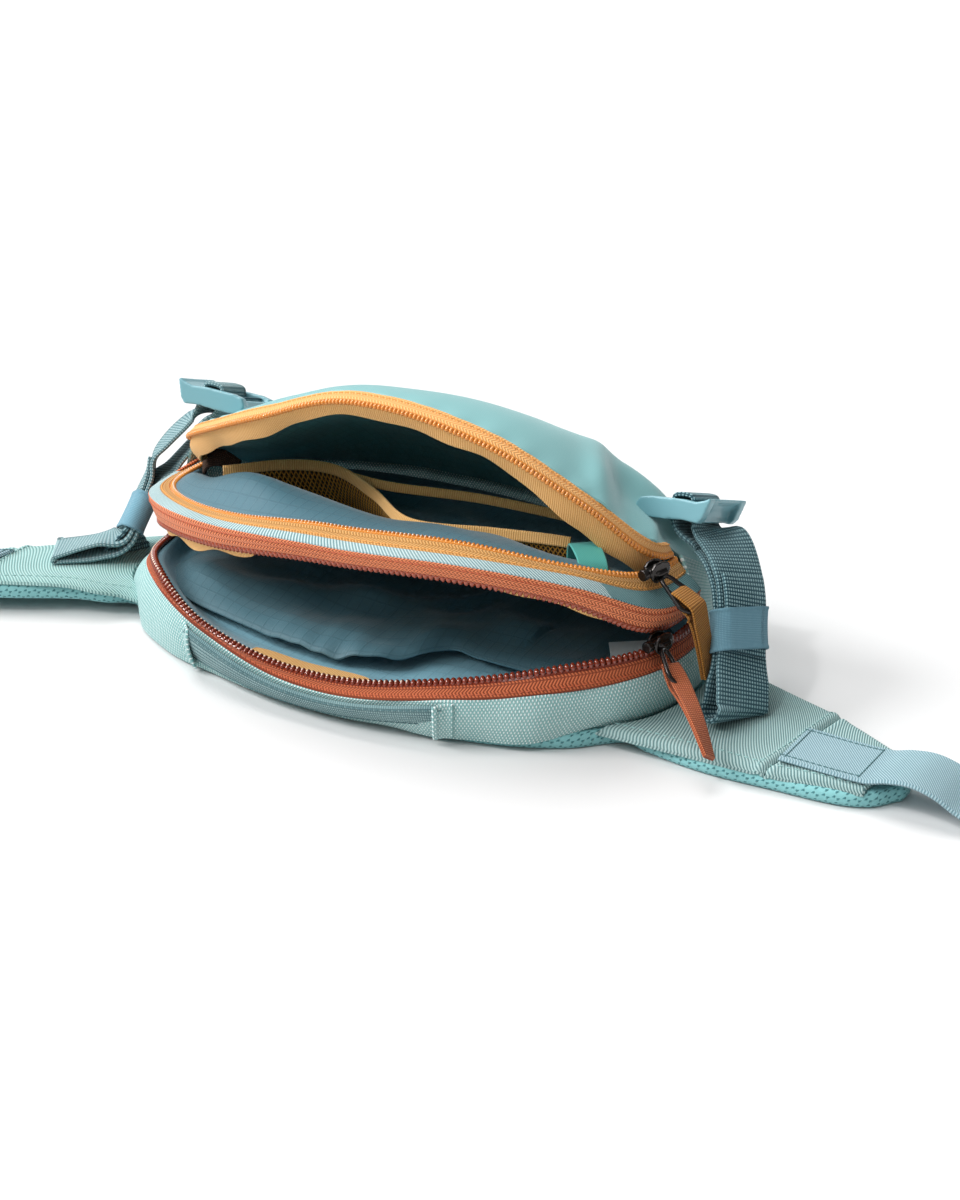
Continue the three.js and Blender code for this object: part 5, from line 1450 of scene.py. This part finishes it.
def keeper(side, hand):
    """Elastic band round both layers of a strap and its tail."""
    rows = np.array(STRAP_ROWS[side], float)
    top, low = rows[2, :3], rows[3, :3]
    axis = unit(top - low)
    wide = level_way(rows[2, 3])
    wide = unit(wide + [0, 0, STRAP_DIP[2]] if side > 0 else wide - axis * (wide @ axis))
    thin = unit(np.cross(axis, wide))
    centre = top + (low - top) * KEEPER["place"][side]
    s = np.sin(np.linspace(-0.5, 0.5, KEEPER["rings"]) * math.pi) / 2
    path = centre + axis * (s * KEEPER["length"])[:, None]
    pinch = 1 - KEEPER["waist"] * np.cos(s * math.pi)
    pinch = pinch + KEEPER["bead"] * bump_at(np.abs(s), *KEEPER["hem"])
    outer, inner = (flat_section(*KEEPER[face], *KEEPER["selvedge"]) for face in ("outer", "inner"))
    rings = []
    for section, order in ((outer, slice(None)), (inner, slice(None, None, -1))):
        for p, scale in zip(path[order], pinch[order]):
            rings.append(p + section[:, :1] * wide * scale + section[:, 1:] * thin * scale)
    faces = tube_faces(len(rings), len(outer), closed=True)
    run = np.tile(np.linspace(0, KEEPER["length"], len(path)), 2)
    maps = flat_map(run, run_along(outer)).reshape(-1, 2)
    place(mesh_object("keeper_band_" + hand, np.vstack(rings), faces, "elastic", maps), "elastic",
          "keeper_" + hand)


def slider(name, pull):
    """Zip slider: two plates on a neck, a bridge for the wire and a barrel along the zip."""
    along, out = level_way(pull["heading"]), level_way(pull["heading"] - 90)
    at = np.array(pull["slider"])
    parts = []
    for offset, size, thick in PLATES:
        points, faces, maps = prism(np.array(PLATE) * size, -thick / 2, thick / 2)
        points = at + points[:, :1] * along + (points[:, 1:2] + offset) * out + points[:, 2:] * UP
        parts.append((points, faces, maps))
    for first_along, first_out, last_along, last_out, radius in RODS:
        first, last = at + along * first_along + out * first_out, at + along * last_along + out * last_out
        path = np.linspace(first, last, ROD["steps"])
        parts.append(sweep(path, side_frames(path, ROD["hint"]), circle(radius, ROD["sides"])))
    points, faces, _ = join(parts)
    piece = moulded("slider_" + name + "_body", points, faces, "gunmetal", *SLIDER_MOULD)
    place(piece, "gunmetal", "slider_" + name)


def pull_axes(pull):
    """A pull's start on its slider, the wire's end, the way between them and the level way across."""
    start, end = np.array(pull["slider"]), np.array(pull["wire_end"])
    along = unit(end - start)
    level = unit(np.array([along[1], -along[0], 0]))
    return start, end, along, level


def pull_wire(name, pull):
    start, end, along, level = pull_axes(pull)
    length = np.linalg.norm(end - start)
    twist = math.radians(WIRE["turn"][name])
    level = level * math.cos(twist) + np.cross(along, level) * math.sin(twist)
    around = np.linspace(0, 2 * math.pi, WIRE["steps"], endpoint=False)
    outer_half = np.cos(around) > 0
    base = np.where(outer_half, length - WIRE["half"], WIRE["clear"] + WIRE["half"] - WIRE["back"])
    wide = np.sin(around) * np.where(outer_half, WIRE["end"][name], WIRE["neck"])
    path = start + along * (base + WIRE["half"] * np.cos(around))[:, None] + level * wide[:, None]
    square = np.cross(along, level)
    radial = np.cross(unit(np.roll(path, -1, 0) - np.roll(path, 1, 0)), square)
    ring = sweep(path, (radial, np.broadcast_to(square, path.shape)), circle(WIRE["radius"]), closed=True)
    place(mesh_object("pull_wire_" + name + "_ring", ring[0], ring[1], "gunmetal"), "gunmetal",
          "pull_wire_" + name, body="pull_" + name)


def pull_tab(name, pull):
    """Folded webbing: one length that goes round the wire, its two layers sewn together below."""
    _, end, along, level = pull_axes(pull)
    tip = np.array(pull["tab_end"])
    square = np.cross(along, level)
    square = square * (1 if square[2] > 0 else -1)
    hold = end - along * WIRE["radius"]
    round_wire = [hold + TAB["loop"] * math.cos(t) * square - TAB["fold"][name] * math.sin(t) * along
                  for t in np.linspace(0, math.pi, TAB["steps"])]
    fall = np.linspace(TAB["start"], 1, TAB["steps"])[:, None]
    run = hold + (tip - hold) * fall + np.array([0, 0, TAB["bow"]]) * np.sin(math.pi * fall)
    face = unit(np.cross(unit(np.gradient(run, axis=0)), level))
    face = face * np.sign(face @ square)[:, None]
    spread = TAB["apart"] + TAB["gape"] * np.exp(-fall * TAB["close"])
    path = smooth_path(np.vstack([(run + face * spread)[::-1], round_wire, run - face * spread]), 5)
    away = np.clip(np.linalg.norm(path - hold, axis=1) / np.linalg.norm(tip - hold), 0, 1)
    twist = np.radians(TAB["twist"][name]) * away[:, None]
    across = level * np.cos(twist) + square * np.sin(twist)
    webbing("pull_tab_" + name + "_web", path, across, TAB["width"][name], TAB["thick"], name + "_tab",
            name + "_webbing", "pull_tab_" + name, body="pull_" + name)


def clip(hand):
    """Plain clasp half on the belt's end, with eased edges."""
    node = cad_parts["belt_clip_" + hand]
    mesh = node.data.copy()
    mesh.materials.clear()
    mesh.materials.append(LOOKS["plastic"])
    piece = add_object("belt_clip_" + hand + "_body", mesh)
    piece.matrix_world = node.matrix_world
    weld = piece.modifiers.new("weld", "WELD")
    weld.merge_threshold = CLIP["weld"] * MM
    ease = piece.modifiers.new("ease", "BEVEL")
    ease.width = CLIP["ease"] * MM
    ease.segments = CLIP["segments"]
    ease.limit_method = "ANGLE"
    place(piece, "plastic", "belt_clip_" + hand)


# Stage

def aim(thing, back):
    """Turns a lamp or camera so that back points behind it."""
    thing.rotation_euler = (-back).to_track_quat("-Z", "Y").to_euler()


def stage():
    half = FLOOR_HALF
    corners = [(-half, -half, 0.0), (half, -half, 0.0), (half, half, 0.0), (-half, half, 0.0)]
    mesh_object("floor", corners, [[0, 1, 2, 3]], "floor")
    scene = bpy.context.scene
    scene.world = bpy.data.worlds.new("studio")
    scene.world.use_nodes = True
    background = scene.world.node_tree.nodes["Background"]
    background.inputs["Color"].default_value = (1, 1, 1, 1)
    background.inputs["Strength"].default_value = SKY
    for name, way, softness, strength in SUNS:
        light = bpy.data.lights.new(name, "SUN")
        light.angle = math.radians(softness)
        light.energy = strength
        aim(add_object(name, light), Vector(way))
    scene.view_settings.view_transform = "Standard"
    camera = bpy.data.cameras.new("camera")
    camera.sensor_fit = "VERTICAL"
    camera.sensor_height = CAMERA["sensor"]
    camera.lens = CAMERA["lens"]
    azimuth, elevation = math.radians(CAMERA["azimuth"]), math.radians(CAMERA["elevation"])
    back = Vector((math.sin(azimuth) * math.cos(elevation), -math.cos(azimuth) * math.cos(elevation),
                   math.sin(elevation)))
    eye = add_object("camera", camera)
    eye.location = Vector(CAMERA["target"]) + back * CAMERA["distance"]
    aim(eye, back)
    scene.camera = eye


stage()
back_pad()
wings()
lower_wall()
grab_handle()
bottom_gusset()
mid_strip()
zips()
front_panel()
front_lining()
mustard_facing()
divider()
main_lining()
lining_sleeve()
lip_facings()
mesh_pocket()
small_tabs()
for side, hand in SIDES:
    belt(side, hand)
    lock(side, hand)
    lock_tab(side, hand)
    side_strap(side, hand)
    keeper(side, hand)
    clip(hand)
for name, pull in PULLS.items():
    slider(name, pull)
    pull_wire(name, pull)
    pull_tab(name, pull)
